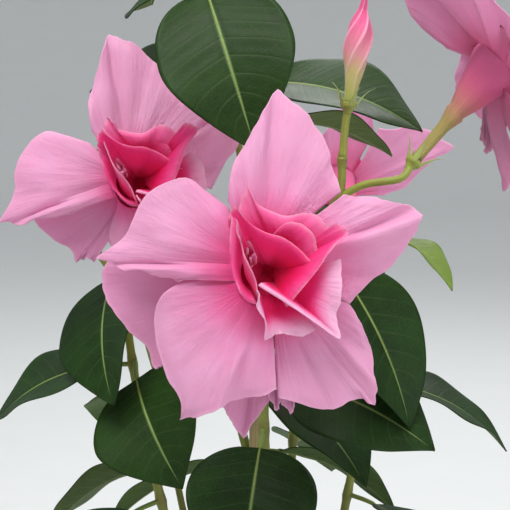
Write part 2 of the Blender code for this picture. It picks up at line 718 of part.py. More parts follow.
# Leaves: the stem and height they grow from, the bearing of their tip in degrees from +X towards +Y,
# how far out and how far down the tip is, and the blade's width
LEAVES = (
    ("vine", 386, -58, 34, 58, 44),
    ("vine", 384, 115, 52, 6, 36),
    ("vine", 349, -18, 66, 16, 45),
    ("vine", 350, 165, 56, 4, 38),
    ("vine", 334, -171, 64, 20, 40),
    ("vine", 332, 14, 60, 10, 40),
    ("vine", 298, 22, 58, 24, 38),
    ("vine", 296, 166, 56, 20, 38),
    ("vine", 268, 98, 56, 24, 40),
    ("vine", 272, -108, 48, 26, 36),
    ("vine", 239, -47, 60, 28, 40),
    ("vine", 236, 155, 62, 26, 40),
    ("vine", 207, 12, 60, 28, 34),
    ("vine", 204, 186, 58, 28, 38),
    ("vine", 179, 114, 56, 24, 34),
    ("vine", 176, -118, 54, 26, 30),
    ("vine", 144, 176, 56, 12, 33),
    ("front", 298, -31, 36, 59, 36),
    ("front", 250, -25, 60, 18, 42),
    ("front", 232, -100, 46, 40, 42),
    ("front", 196, -48, 54, 34, 38),
    ("front", 192, -112, 52, 32, 36),
    ("front", 150, -24, 52, 14, 34),
    ("front", 146, -104, 56, 8, 36),
    ("left", 284, -90, 42, 42, 42),
    ("left", 250, -62, 42, 34, 42),
    ("left", 250, 175, 52, 24, 38),
    ("left", 200, -140, 54, 32, 38),
    ("left", 150, -140, 52, 12, 36),
    ("back", 264, 130, 52, 26, 38),
    ("back", 246, 30, 58, 26, 40),
    ("back", 204, 70, 58, 30, 40),
    ("back", 156, 68, 54, 14, 36),
    ("right", 294, -26, 36, 16, 28),
    ("right", 290, 150, 30, 4, 22),
    ("right", 240, 0, 54, 26, 38),
    ("right", 196, -40, 52, 30, 36),
    ("right", 156, 0, 52, 14, 34),
    ("rear_left", 222, 125, 50, 24, 36),
    ("rear_left", 196, 190, 52, 28, 36),
    ("rear_left", 150, 130, 52, 14, 34),
)
YOUNG_LEAVES = (("right", 294), ("right", 290))


def pedicel(stem, height, passing, end, direction):
    """The stalk from a stem to a calyx, which it meets along the flower's own direction."""
    start, _, _ = STEMS[stem].at_height(height)
    last = Vector(end)
    points = [start] + [Vector(p) for p in passing] + [last - direction * 5.0, last + direction * 0.5]
    return tube("pedicel", Path(points, PEDICEL_RADIUS, PEDICEL_RADIUS, step=7.0))


def flower_stalks(stem):
    """The pedicels and calyxes that grow from one stem."""
    pieces = []
    for grows_from, height, passing, bloom in FLOWERS:
        if grows_from == stem:
            direction = bloom.tube_direction()
            foot = bloom.tube_end() - direction * (CALYX_HEIGHT + TUBE_SEAT)
            pieces.append(pedicel(stem, height, passing, foot, direction))
            pieces += calyx(foot, direction)
    for _, grows_from, height, passing, foot, direction, _ in BUDS:
        if grows_from == stem:
            along = Vector(direction).normalized()
            pieces.append(pedicel(stem, height, passing, foot, along))
            pieces += calyx(foot, along)
    return pieces


def make_shoots():
    for stem, path in STEMS.items():
        shoot = tube("vine_twining" if stem == "vine" else "shoot_" + stem, path, STEM_GREEN)
        stalks = flower_stalks(stem)
        if stalks:
            fused(shoot, stalks)


def make_leaves():
    numbers = {}
    for stem, height, bearing, reach, drop, width in LEAVES:
        numbers[stem] = numbers.get(stem, 0) + 1
        node, _, _ = STEMS[stem].at_height(height)
        out = Vector((math.cos(math.radians(bearing)), math.sin(math.radians(bearing)), 0.0))
        tip = node + out * reach - Vector((0.0, 0.0, drop))
        finish = YOUNG_GREEN if (stem, height) in YOUNG_LEAVES else LEAF_GREEN
        leaf("leaf_%s_%d" % (stem, numbers[stem]), STEMS[stem], height, tip, width, finish=finish)


def make_flowers():
    for bloom in BLOOMS:
        corolla(bloom)
    for name, _, _, _, foot, direction, size in BUDS:
        along = Vector(direction).normalized()
        bud(name, Vector(foot) + along * (CALYX_HEIGHT + GAP), along, size)


def main():
    clear_scene()
    make_pot()
    cane_line = Path([(*CANE_AT, PLANTED_TO), (*CANE_AT, CANE_TOP)], CANE_RADIUS, CANE_RADIUS, step=140.0)
    tube("cane", cane_line, BAMBOO)
    make_soil([cane_line] + list(STEMS.values()))
    make_shoots()
    make_leaves()
    make_flowers()


main()
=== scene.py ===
"""The finished look of a double-flowered mandevilla in a clay pot.

The plant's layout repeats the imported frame's own, in millimetres. Every piece takes the place of one node.
"""

import math
import random

import bmesh
import bpy
from mathutils import Matrix, Vector, noise


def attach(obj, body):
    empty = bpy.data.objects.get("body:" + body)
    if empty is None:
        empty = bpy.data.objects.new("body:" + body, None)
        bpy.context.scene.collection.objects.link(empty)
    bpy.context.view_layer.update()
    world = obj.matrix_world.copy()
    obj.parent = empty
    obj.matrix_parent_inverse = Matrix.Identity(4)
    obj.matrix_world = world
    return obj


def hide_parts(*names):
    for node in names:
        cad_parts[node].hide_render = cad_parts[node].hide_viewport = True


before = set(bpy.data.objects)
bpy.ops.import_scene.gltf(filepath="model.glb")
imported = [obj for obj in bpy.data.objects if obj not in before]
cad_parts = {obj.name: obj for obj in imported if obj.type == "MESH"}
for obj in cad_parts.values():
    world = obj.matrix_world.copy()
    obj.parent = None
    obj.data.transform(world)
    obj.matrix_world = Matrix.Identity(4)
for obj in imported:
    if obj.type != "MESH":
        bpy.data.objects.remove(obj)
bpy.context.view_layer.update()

MM = 0.001
UP = Vector((0.0, 0.0, 1.0))

# Pot, soil and cane
POT_HEIGHT, POT_RIM_RADIUS, POT_FOOT_RADIUS = 125.0, 76.0, 50.0
POT_COLLAR_HEIGHT, POT_COLLAR_STEP, POT_WALL, POT_FLOOR = 26.0, 3.5, 6.0, 8.0
SOIL_LEVEL, PLANTED_TO = 112.0, 78.0
CANE_RADIUS, CANE_TOP, CANE_AT = 2.6, 342.0, (0.0, 10.0)

# Stems
STEM_STEP, FINE_STEP = 13.0, 2.5
PEDICEL_RADIUS = 1.25
TWINE_RADIUS, TWINE_PITCH, TWINE_START, TWINE_LEAVES_CANE_AT = CANE_RADIUS + 3.0, 92.0, 105.0, 322.0
NODE_SWELLING = 0.28

# Leaves
GAP, LEAF_THICKNESS, PETIOLE, LEAF_ARCH, LEAF_FOLD = 0.3, 2.0, 9.0, 7.0, 0.16
BLADE_THICKNESS = 0.36
WIDEST_AT = 0.44  # share of the blade's length
SIDE_VEINS, VEIN_SWEEP, VEIN_BEND = 9.0, 0.13, 0.05
MIDRIB_RADIUS, PETIOLE_RADIUS = 0.62, 1.0

# Flowers and buds
PETAL_THICKNESS = 0.32
TUBE_LENGTH, TUBE_RADIUS, TUBE_SIDES, TUBE_LEAN, TUBE_SEAT = 45.0, 2.0, 10, 0.2, 0.75
BELL = ((-45.0, 2.0), (-30.0, 2.4), (-23.0, 4.2), (-16.0, 6.6), (-8.0, 8.9), (-1.0, 11.3))  # depth, radius
BELL_WALL = 1.8
THROAT_BOTTOM, THROAT_RISE = -7.5, 5.0
CROWDED = 1.3  # above 1 the rows of a lobe lie closer together towards its margin
CALYX_HEIGHT, CALYX_RADIUS, SEPALS, SEPAL_LENGTH, SEPAL_LEAN = 3.0, 3.3, 5, 9.0, 24.0
SEPAL_BEND, SEPAL_HALF_WIDTH, SEPAL_HALF_THICKNESS = 14.0, 1.15, 0.34
BUD_LENGTH, BUD_RADIUS, BUD_TWIST, BUD_TWIST_FROM, BUD_TAPER_FROM = 40.0, 4.4, 200.0, 0.25, 0.6
BUD_ROOT = 0.8  # how far a bud's foot reaches down into its calyx

# Soil
SOIL_LUMP, SOIL_CRUMBS, COARSE_CRUMBS, CRUMBS_PER_GRIT = 2.4, 620, 60, 19

# Room
FLOOR_FLAT, FLOOR_CURVE, FLOOR_TOP = 3.0, 1.5, 2.6
EYE, LOOKS_AT, LENS, FILM = (0.0, -0.4515, 0.3501), (0.0, -0.095, 0.3), 87.6, 36.0
ROOM_COLOUR, ROOM_STRENGTH = (0.93, 0.96, 1.0, 1.0), 0.74
# Each soft light: where it is, where it points, its width in m, its power in W and its colour
SOFT_LIGHTS = {
    "key": ((-0.22, -0.55, 1.40), (0.0, -0.05, 0.28), 0.7, 15.5, (1.0, 0.99, 0.97)),
    "fill": ((0.95, -0.8, 0.5), (0.0, 0.0, 0.27), 0.9, 5.0, (0.94, 0.97, 1.0)),
    "rim": ((0.25, 0.95, 1.1), (0.0, 0.0, 0.28), 0.7, 6.0, (1.0, 1.0, 1.0)),
}


def smooth(low, high, value):
    """0 below low and 1 above high, with a soft step between."""
    share = min(max((value - low) / (high - low), 0.0), 1.0)
    return share * share * (3.0 - 2.0 * share)


def bump_at(value, centre, width):
    return math.exp(-(((value - centre) / width) ** 2))


# Finishes


class Value:
    """What a node of a finish gives. Arithmetic on one that is a number adds Math nodes."""

    def __init__(self, finish, socket):
        self.finish = finish
        self.socket = socket

    def math(self, operation, *others):
        values = dict(enumerate((self, *others)))
        return self.finish.node("ShaderNodeMath", {"operation": operation}, values)

    def turned_math(self, operation, other):
        return self.finish.node("ShaderNodeMath", {"operation": operation}, {0: other, 1: self})

    def __add__(self, other):
        return self.math("ADD", other)

    def __radd__(self, other):
        return self.turned_math("ADD", other)

    def __sub__(self, other):
        return self.math("SUBTRACT", other)

    def __rsub__(self, other):
        return self.turned_math("SUBTRACT", other)

    def __mul__(self, other):
        return self.math("MULTIPLY", other)

    def __rmul__(self, other):
        return self.turned_math("MULTIPLY", other)

    def between(self, low, high):
        """0 where it is at or below low, 1 at or above high, with a soft step between."""
        values = {"Value": self, "From Min": low, "From Max": high}
        return self.finish.node("ShaderNodeMapRange", {"interpolation_type": "SMOOTHSTEP"}, values)


class Finish:
    """A material and the nodes behind its shader. What holds all over it is set on the shader itself."""

    def __init__(self, name, fixed):
        self.material = bpy.data.materials.new(name)
        self.material.use_nodes = True
        self.tree = self.material.node_tree
        self.shader = self.tree.nodes["Principled BSDF"]
        for socket, value in fixed.items():
            self.shader.inputs[socket].default_value = value

    def node(self, kind, settings=None, values=None, output=0):
        made = self.tree.nodes.new(kind)
        for name, setting in (settings or {}).items():
            if name == "stops":
                ramp = made.color_ramp.elements
                while len(ramp) < len(setting):
                    ramp.new(1.0)
                for element, (position, colour) in zip(ramp, setting):
                    element.position = position
                    element.color = (*colour, 1.0)
            else:
                setattr(made, name, setting)
        for key, value in (values or {}).items():
            self.put(made.inputs[key], value)
        return Value(self, made.outputs[output])

    def put(self, socket, value):
        if isinstance(value, Value):
            self.tree.links.new(value.socket, socket)
        elif isinstance(value, tuple) and len(value) == 3 and socket.type == "RGBA":
            socket.default_value = (*value, 1.0)
        else:
            socket.default_value = value

    def attribute(self, name):
        """The number of a layer at each point."""
        return self.node("ShaderNodeAttribute", {"attribute_name": name}, output="Fac")

    def place(self):
        """The point's own place in the plant, in millimetres."""
        coordinates = self.node("ShaderNodeTexCoord", output="Object")
        return self.node("ShaderNodeVectorMath", {"operation": "SCALE"}, {0: coordinates, "Scale": 1.0 / MM})

    def chart(self):
        """The piece's own map."""
        return self.node("ShaderNodeUVMap", {"uv_map": "UVMap"})

    def split(self, vector):
        """The three numbers of a vector."""
        parts = self.tree.nodes.new("ShaderNodeSeparateXYZ")
        self.put(parts.inputs[0], vector)
        return [Value(self, socket) for socket in parts.outputs]

    def grain(self, vector, scale, detail=3.0, roughness=0.55, distortion=0.0):
        """Noise at a scale, or stretched by three scales."""
        if isinstance(scale, tuple):
            vector = self.node("ShaderNodeVectorMath", {"operation": "MULTIPLY"}, {0: vector, 1: scale})
            scale = 1.0
        values = {"Vector": vector, "Scale": scale, "Detail": detail, "Roughness": roughness}
        return self.node("ShaderNodeTexNoise", None, values | {"Distortion": distortion})

    def cells(self, scale, feature="F1"):
        """The distance to the middle, or to the edge, of cells that fill the plant's space."""
        values = {"Vector": self.place(), "Scale": scale}
        return self.node("ShaderNodeTexVoronoi", {"feature": feature}, values)

    def mix(self, share, first, second):
        """One colour that gives way to another. Only numbers tell its colour sockets from others."""
        return self.node("ShaderNodeMix", {"data_type": "RGBA"}, {0: share, 6: first, 7: second}, output=2)

    def layered(self, colour, *layers):
        """A colour with others over it, each as its share and its colour."""
        for share, over in layers:
            colour = self.mix(share, colour, over)
        return colour

    def ramp(self, value, *stops):
        return self.node("ShaderNodeValToRGB", {"stops": stops}, {"Fac": value})

    def dress(self, colour, roughness=None, height=None, depth=0.2):
        """Joins the colour, the roughness and a relief whose depth is in millimetres to the shader."""
        self.put(self.shader.inputs["Base Color"], colour)
        if roughness is not None:
            self.put(self.shader.inputs["Roughness"], roughness)
        if height is not None:
            values = {"Height": height, "Distance": depth * MM, "Strength": 1.0}
            self.put(self.shader.inputs["Normal"], self.node("ShaderNodeBump", None, values))
        return self.material

    def lets_light_through(self, share, colour):
        """Mixes in light that comes through from behind, in one colour all over."""
        through = self.node("ShaderNodeBsdfTranslucent", None, {"Color": colour})
        both = self.tree.nodes.new("ShaderNodeMixShader")
        self.put(both.inputs[0], share)
        self.tree.links.new(self.shader.outputs[0], both.inputs[1])
        self.put(both.inputs[2], through)
        self.tree.links.new(both.outputs[0], self.tree.nodes["Material Output"].inputs["Surface"])
        return self.material


THROAT_TO_MARGIN = (
    (0.00, (0.620, 0.003, 0.022)),
    (0.12, (0.840, 0.006, 0.090)),
    (0.28, (0.920, 0.018, 0.190)),
    (0.44, (0.930, 0.080, 0.330)),
    (0.60, (0.910, 0.210, 0.470)),
    (0.76, (0.880, 0.330, 0.590)),
    (0.90, (0.865, 0.405, 0.640)),
    (1.00, (0.880, 0.465, 0.690)),
)


def petal_finish(name, share, change, through, back=False):
    """The satin of a petal: crimson in the throat, then hot pink, then pale, with fine creases to the margin.
    Painted mauve shade lies along the creases and on the rear lobes, and the pale margin is partly
    painted highlight.

    share is how much of the light comes through at its root, change is what the margin has more, and through
    is that light's colour.
    """
    finish = Finish(name, {"Specular IOR Level": 0.35, "Sheen Weight": 0.08, "Sheen Roughness": 0.4})
    chart, place = finish.chart(), finish.place()
    glow, tube, wrinkled = (finish.attribute(layer) for layer in ("glow", "tube", "wrinkled"))
    folds = finish.grain(chart, (13.0, 1.1, 1.0), 3.0, 0.5, 0.4)
    creases = finish.grain(chart, (34.0, 2.4, 1.0), 4.0, 0.6, 0.3)
    hairs = finish.grain(chart, (110.0, 6.0, 1.0), 2.0)
    wrinkles = finish.grain(chart, (30.0, 34.0, 1.0), 2.0, 0.5, 0.4)
    puckers = finish.grain(place, 0.55)
    clouds = finish.grain(place, 0.085)
    varied = glow + (folds - 0.5) * 0.14 + (creases - 0.5) * 0.08 + (clouds - 0.5) * 0.16
    colour = finish.layered(
        finish.ramp(varied, *THROAT_TO_MARGIN),
        (clouds.between(0.48, 0.70) * glow.between(0.55, 1.0) * 0.45, (0.88, 0.50, 0.76)),
        (hairs.between(0.52, 0.75) * 0.12, (0.80, 0.16, 0.44)),
        # painted shade: a little mauve along the fine creases
        (creases.between(0.55, 0.78) * 0.07, (0.66, 0.20, 0.46)),
        # painted shade: the rear lobes and the slips are tinted mauve as if they lay in shade
        (finish.attribute("shade") * 0.35, (0.62, 0.26, 0.46)),
    )
    if back:
        colour = finish.layered(colour, (0.35, (0.84, 0.44, 0.66)), (tube, (0.27, 0.27, 0.045)))
    colour = finish.layered(
        colour,
        (wrinkles.between(0.45, 0.62) * wrinkled * 0.5, (0.93, 0.55, 0.76)),
        # the pale margin is partly the petal's own paler edge and partly a painted highlight
        (finish.attribute("edge") * 0.6, (0.95, 0.60, 0.78)),
    )
    roughness = 0.50 + (clouds - 0.5) * 0.2 + (hairs - 0.5) * 0.1
    relief = folds * 0.36 + creases * 0.36 + hairs * 0.08 + puckers * 0.14 + wrinkles * wrinkled * 0.6
    finish.dress(colour, roughness, relief, 1.1)
    return finish.lets_light_through((1.0 - tube) * (share + glow * change), through)


def leaf_finish(name, face, sunk, rib, back=False):
    """A leaf with its midrib, its curved side veins and the fine net between them."""
    fixed = {"Coat Roughness": 0.2, "Coat Weight": 0.0 if back else 0.03, "Specular IOR Level": 0.13}
    finish = Finish(name, fixed)
    across, along, _ = finish.split(finish.chart())
    side = (across - 0.5).math("ABSOLUTE") * 2.0
    order = (along - side * VEIN_SWEEP - side * side * VEIN_BEND) * SIDE_VEINS
    line = (order.math("FRACT") - 0.5).math("ABSOLUTE") * 2.0
    vein = line.between(0.84, 0.985) * (1.0 - side * 0.75)
    midrib = 1.0 - side.between(0.012, 0.075 if back else 0.042)
    quilt = 1.0 - line * line
    net = 1.0 - finish.cells(0.75, "DISTANCE_TO_EDGE").between(0.0, 0.09)
    clouds = finish.grain(finish.place(), 0.09, 4.0)
    speckle = finish.grain(finish.place(), 1.3)
    colour = finish.layered(
        sunk,
        (clouds.between(0.3, 0.7), face),
        (speckle.between(0.45, 0.85) * 0.3, tuple(c * 1.5 for c in face)),
        (finish.attribute("age") * 0.3, tuple(c * k for c, k in zip(face, (2.4, 1.5, 1.4)))),
        (net * (0.10 if back else 0.05), rib),
        (vein * (0.35 if back else 0.09), rib),
        (midrib * 0.8, rib),
    )
    roughness = 0.62 + (clouds - 0.5) * 0.1 if back else 0.50 + (clouds - 0.5) * 0.3
    relief = quilt * (1.0 - side * 0.5) * 0.45 - net * 0.06 - vein * 0.12 + speckle * 0.08
    finish.dress(colour, roughness, 0.0 - relief if back else relief, 0.3)
    return finish.lets_light_through(0.08, tuple(min(1.0, c * 2.6) for c in face))


def stem_finish(name, young, old):
    """Green bark with long streaks, browner towards the soil, with small pale dots and paler sepals."""
    finish = Finish(name, {"Specular IOR Level": 0.4})
    _, _, height = finish.split(finish.place())
    streaks = finish.grain(finish.chart(), (9.0, 0.5, 1.0), 4.0)
    clouds = finish.grain(finish.place(), 0.12)
    dots = finish.cells(0.9)
    colour = finish.layered(
        young,
        ((1.0 - height.between(95.0, 235.0)) * 0.85, old),
        (streaks.between(0.35, 0.75) * 0.45, tuple(c * 0.55 for c in young)),
        (clouds.between(0.4, 0.7) * 0.2, (0.24, 0.13, 0.045)),
        ((1.0 - dots.between(0.08, 0.2)) * 0.4, (0.42, 0.40, 0.22)),
        (finish.attribute("ring") * 0.6, (0.16, 0.12, 0.03)),
        (finish.attribute("pale") * 0.85, (0.43, 0.52, 0.19)),
    )
    return finish.dress(colour, 0.46 + (streaks - 0.5) * 0.2, streaks * 0.7 + dots * 0.3, 0.3)


def bud_finish():
    """Rolled petals: greenish at the foot, then deep pink, each rolled edge paler."""
    finish = Finish("rolled_petals", {"Specular IOR Level": 0.35, "Sheen Weight": 0.12})
    streaks = finish.grain(finish.chart(), (40.0, 3.0, 1.0), 4.0)
    colour = finish.ramp(
        finish.attribute("height") + (streaks - 0.5) * 0.14,
        (0.00, (0.36, 0.42, 0.10)),
        (0.26, (0.50, 0.42, 0.16)),
        (0.44, (0.74, 0.26, 0.32)),
        (0.70, (0.72, 0.10, 0.26)),
        (1.00, (0.60, 0.06, 0.18)),
    )
    colour = finish.mix(finish.attribute("edge") * 0.55, colour, (0.90, 0.50, 0.62))
    return finish.dress(colour, 0.42 + (streaks - 0.5) * 0.15, streaks, 0.3)


def clay_finish():
    """Fired clay: mottled, with fine turning lines, pits, a pale lime bloom and a darker foot."""
    finish = Finish("fired_clay", {"Specular IOR Level": 0.25})
    place = finish.place()
    _, _, height = finish.split(place)
    clouds = finish.grain(place, 0.03, 5.0, 0.6)
    grit = finish.grain(place, 1.4, 4.0, 0.7)
    lines = finish.grain(place, (0.012, 0.012, 1.1))
    bloom = finish.grain(place, (0.05, 0.05, 0.022), 6.0, 0.65)
    colour = finish.layered(
        (0.40, 0.125, 0.055),
        (clouds.between(0.3, 0.7), (0.56, 0.205, 0.100)),
        (grit.between(0.45, 0.8) * 0.4, (0.30, 0.085, 0.04)),
        ((lines - 0.5).math("ABSOLUTE") * 0.7, (0.62, 0.27, 0.15)),
        (bloom.between(0.52, 0.74) * (0.35 + height.between(60.0, 118.0) * 0.4), (0.66, 0.50, 0.40)),
        # darker towards the foot
        ((1.0 - height.between(2.0, 16.0)) * 0.45, (0.20, 0.075, 0.035)),
    )
    relief = grit * 0.25 + lines * 0.45 + finish.cells(0.42).between(0.0, 0.22) * 0.3
    return finish.dress(colour, 0.86 + (grit - 0.5) * 0.14, relief, 0.45)


def soil_finish():
    """Peaty soil: near black and brown crumbs with fibres."""
    finish = Finish("peat", {"Specular IOR Level": 0.2})
    crumbs = finish.grain(finish.place(), 0.5, 6.0, 0.7)
    fibres = finish.grain(finish.place(), (2.6, 0.35, 0.8), 4.0, 0.6, 1.2)
    colour = finish.ramp(
        crumbs * 0.6 + finish.attribute("shade") * 0.5,
        (0.25, (0.012, 0.008, 0.006)),
        (0.50, (0.040, 0.024, 0.014)),
        (0.78, (0.095, 0.055, 0.030)),
    )
    colour = finish.mix(fibres.between(0.62, 0.72) * 0.5, colour, (0.17, 0.10, 0.05))
    return finish.dress(colour, 0.93 + (crumbs - 0.5) * 0.1, crumbs * 0.7 + fibres * 0.3, 1.6)


def grit_finish():
    finish = Finish("perlite", {"Specular IOR Level": 0.3})
    grain = finish.grain(finish.place(), 1.6, 4.0)
    return finish.dress(finish.mix(grain, (0.50, 0.46, 0.40), (0.80, 0.78, 0.73)), 0.9, grain, 0.4)


def cane_finish():
    """Dry bamboo: long fibres, dark nodes and a few weathered spots."""
    finish = Finish("dry_bamboo", {"Specular IOR Level": 0.45})
    fibres = finish.grain(finish.place(), (3.0, 3.0, 0.05), 5.0, 0.6)
    spots = finish.grain(finish.place(), 0.35, 5.0, 0.7)
    colour = finish.layered(
        (0.40, 0.28, 0.11),
        (fibres.between(0.35, 0.7), (0.60, 0.47, 0.24)),
        (spots.between(0.58, 0.72) * 0.5, (0.17, 0.10, 0.045)),
        (finish.attribute("ring") * 0.75, (0.13, 0.075, 0.03)),
    )
    return finish.dress(colour, 0.44 + (fibres - 0.5) * 0.3, fibres, 0.25)


def floor_finish():
    finish = Finish("pale_floor", {"Specular IOR Level": 0.2})
    grain = finish.grain(finish.place(), 0.02, 4.0)
    return finish.dress(finish.mix(grain, (0.64, 0.65, 0.64), (0.67, 0.68, 0.67)), 0.8)


PETAL = [
    petal_finish("petal_face", 0.26, 0.16, (0.92, 0.51, 0.71)),
    petal_finish("petal_back", 0.26, 0.16, (0.92, 0.51, 0.71), back=True),
    petal_finish("inner_petal_face", 0.66, -0.36, (0.97, 0.24, 0.54)),
    petal_finish("inner_petal_back", 0.66, -0.36, (0.97, 0.24, 0.54), back=True),
]
LEAF = [
    leaf_finish("leaf_face", (0.012, 0.040, 0.006), (0.006, 0.023, 0.003), (0.15, 0.24, 0.08)),
    leaf_finish("leaf_back", (0.115, 0.200, 0.065), (0.080, 0.150, 0.045), (0.34, 0.44, 0.20), back=True),
]
YOUNG_LEAF = [
    leaf_finish("young_leaf_face", (0.150, 0.270, 0.045), (0.085, 0.190, 0.030), (0.36, 0.46, 0.16)),
    leaf_finish("young_leaf_back", (0.23, 0.34, 0.11), (0.17, 0.27, 0.08), (0.42, 0.50, 0.24), back=True),
]
STEM = stem_finish("green_stem", (0.250, 0.300, 0.045), (0.170, 0.110, 0.045))
PETIOLE_GREEN = stem_finish("petiole", (0.200, 0.290, 0.060), (0.160, 0.200, 0.050))
BUD = bud_finish()
CLAY = clay_finish()
PEAT = soil_finish()
PERLITE = grit_finish()
BAMBOO = cane_finish()


# Making pieces


def in_scene(name, data):
    """An object for a mesh, a light or a camera."""
    made = bpy.data.objects.new(name, data)
    bpy.context.scene.collection.objects.link(made)
    return made


def mesh_of(bm, name, materials):
    """Turns the bmesh into a mesh with its materials, and frees it."""
    mesh = bpy.data.meshes.new(name)
    bm.to_mesh(mesh)
    bm.free()
    for material in materials:
        mesh.materials.append(material)
    return mesh


def spin_round(bm, profile, steps, axis=(0.0, 0.0)):
    """Turns (radius, height) points round a vertical axis into smooth faces."""
    points = [bm.verts.new((axis[0] + radius, axis[1], height)) for radius, height in profile]
    edges = [bm.edges.new(pair) for pair in zip(points, points[1:])]
    turn = {"cent": (*axis, 0.0), "axis": UP, "angle": 2 * math.pi, "steps": steps, "use_merge": True}
    bmesh.ops.spin(bm, geom=points + edges, **turn)
    bmesh.ops.remove_doubles(bm, verts=bm.verts, dist=1e-4)
    bmesh.ops.recalc_face_normals(bm, faces=bm.faces)
    for face in bm.faces:
        face.smooth = True


class Piece:
    """A mesh that gathers sheets, rods and turned solids in millimetres, then takes the place of a node."""

    def __init__(self, layers=()):
        self.bm = bmesh.new()
        self.uv = self.bm.loops.layers.uv.new("UVMap")
        self.layers = {name: self.bm.verts.layers.float.new(name) for name in layers}

    def grid(self, columns, rows, shape, chart=None, slot=0):
        """A sheet whose points go to shape(u, v), and whose map is chart(u, v), or u and v as they are.

        shape gives the point, or the point and a dictionary of layer values.
        """
        made = bmesh.ops.create_grid(self.bm, x_segments=columns, y_segments=rows, size=0.5)["verts"]
        shares = {vertex: (vertex.co.x + 0.5, vertex.co.y + 0.5) for vertex in made}
        for face in {face for vertex in made for face in vertex.link_faces}:
            face.smooth = True
            face.material_index = slot
            for loop in face.loops:
                u, v = shares[loop.vert]
                loop[self.uv].uv = chart(u, v) if chart else (u, v)
        for vertex, (u, v) in shares.items():
            found = shape(u, v)
            vertex.co, values = found if isinstance(found, tuple) else (found, {})
            for name, value in values.items():
                vertex[self.layers[name]] = value
        return made, shares

    def rod(self, line, size_at, sides, wide=None, slot=0, layers=None):
        """A closed rod along a line.

        size_at(share, distance) gives its radius, or its half width and half thickness. wide is the direction
        that the half width is measured in, and layers(share, point) gives the layer values.
        """
        points = line.points
        frames = line.frames(wide)
        last = len(points) - 1

        def shape(u, v):
            i = min(round(v * last), last)
            size = size_at(i / last, line.distances[i])
            a, b = size if isinstance(size, tuple) else (size, size)
            side, other = frames[i]
            angle = 2 * math.pi * u
            point = points[i] + side * (a * math.cos(angle)) + other * (b * math.sin(angle))
            return point, layers(i / last, points[i]) if layers else {}

        def chart(u, v):
            return u, line.distances[min(round(v * last), last)] / 10.0

        made, shares = self.grid(sides, last, shape, chart)
        once_round = [vertex for vertex in made if shares[vertex][0] < 0.999]
        ends = [[vertex for vertex in once_round if abs(shares[vertex][1] - at) < 1e-6] for at in (0.0, 1.0)]
        bmesh.ops.remove_doubles(self.bm, verts=made, dist=1e-5)
        ends = [[vertex for vertex in end if vertex.is_valid] for end in ends]
        faces = {face for end in ends for vertex in end for face in vertex.link_faces}
        for end in ends:
            end.sort(key=lambda vertex: shares[vertex][0])
            faces.add(self.bm.faces.new(end))
        every = {face for vertex in made if vertex.is_valid for face in vertex.link_faces}
        bmesh.ops.recalc_face_normals(self.bm, faces=list(every))
        for face in every:
            face.material_index = slot
            face.smooth = True

    def round_edges(self, width, sharper_than=28.0):
        """Rounds the edges that bend more than an angle in degrees."""
        limit = math.radians(sharper_than)
        inner = [edge for edge in self.bm.edges if len(edge.link_faces) == 2]
        sharp = [edge for edge in inner if edge.calc_face_angle() > limit]
        form = {"offset_type": "OFFSET", "affect": "EDGES", "segments": 3, "profile": 0.5, "material": -1}
        bmesh.ops.bevel(self.bm, geom=sharp, offset=width, **form)
        for face in self.bm.faces:
            face.smooth = True

    def thicken(self, thickness, materials):
        """Gives every sheet so far a back, in the next material slot, and a rim."""
        self.bm.normal_update()
        mesh = mesh_of(self.bm, "sheet", materials)
        sheet = in_scene("sheet", mesh)
        solid = sheet.modifiers.new("thickness", "SOLIDIFY")
        solid.thickness = thickness
        solid.offset = 0.0
        solid.material_offset = 1
        made = bpy.data.meshes.new_from_object(sheet.evaluated_get(bpy.context.evaluated_depsgraph_get()))
        self.bm = bmesh.new()
        self.bm.from_mesh(made)
        self.uv = self.bm.loops.layers.uv["UVMap"]
        self.layers = {name: self.bm.verts.layers.float[name] for name in self.layers}
        bpy.data.objects.remove(sheet)
        for used in (mesh, made):
            bpy.data.meshes.remove(used)

    def standing_for(self, node, name, materials, place=None):
        """Makes the object, in metres, in place of a node of the frame."""
        matrix = Matrix.Scale(MM, 4) @ (place or Matrix.Identity(4))
        bmesh.ops.transform(self.bm, matrix=matrix, verts=self.bm.verts)
        piece = in_scene(name, mesh_of(self.bm, name, materials))
        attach(piece, "root")
        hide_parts(node)


def spline(points, share):
    """The point at a share from 0 to 1 of a smooth curve that meets the points at even shares."""
    last = len(points) - 1
    at = min(max(share, 0.0), 1.0) * last
    i = min(int(at), last - 1)
    t = at - i
    before = points[i - 1] if i > 0 else points[i] * 2 - points[i + 1]
    after = points[i + 2] if i + 2 <= last else points[i + 1] * 2 - points[i]
    a, b = points[i], points[i + 1]
    return 0.5 * (
        a * 2
        + (b - before) * t
        + (before * 2 - a * 5 + b * 4 - after) * t * t
        + (a * 3 - b * 3 + after - before) * t * t * t
    )


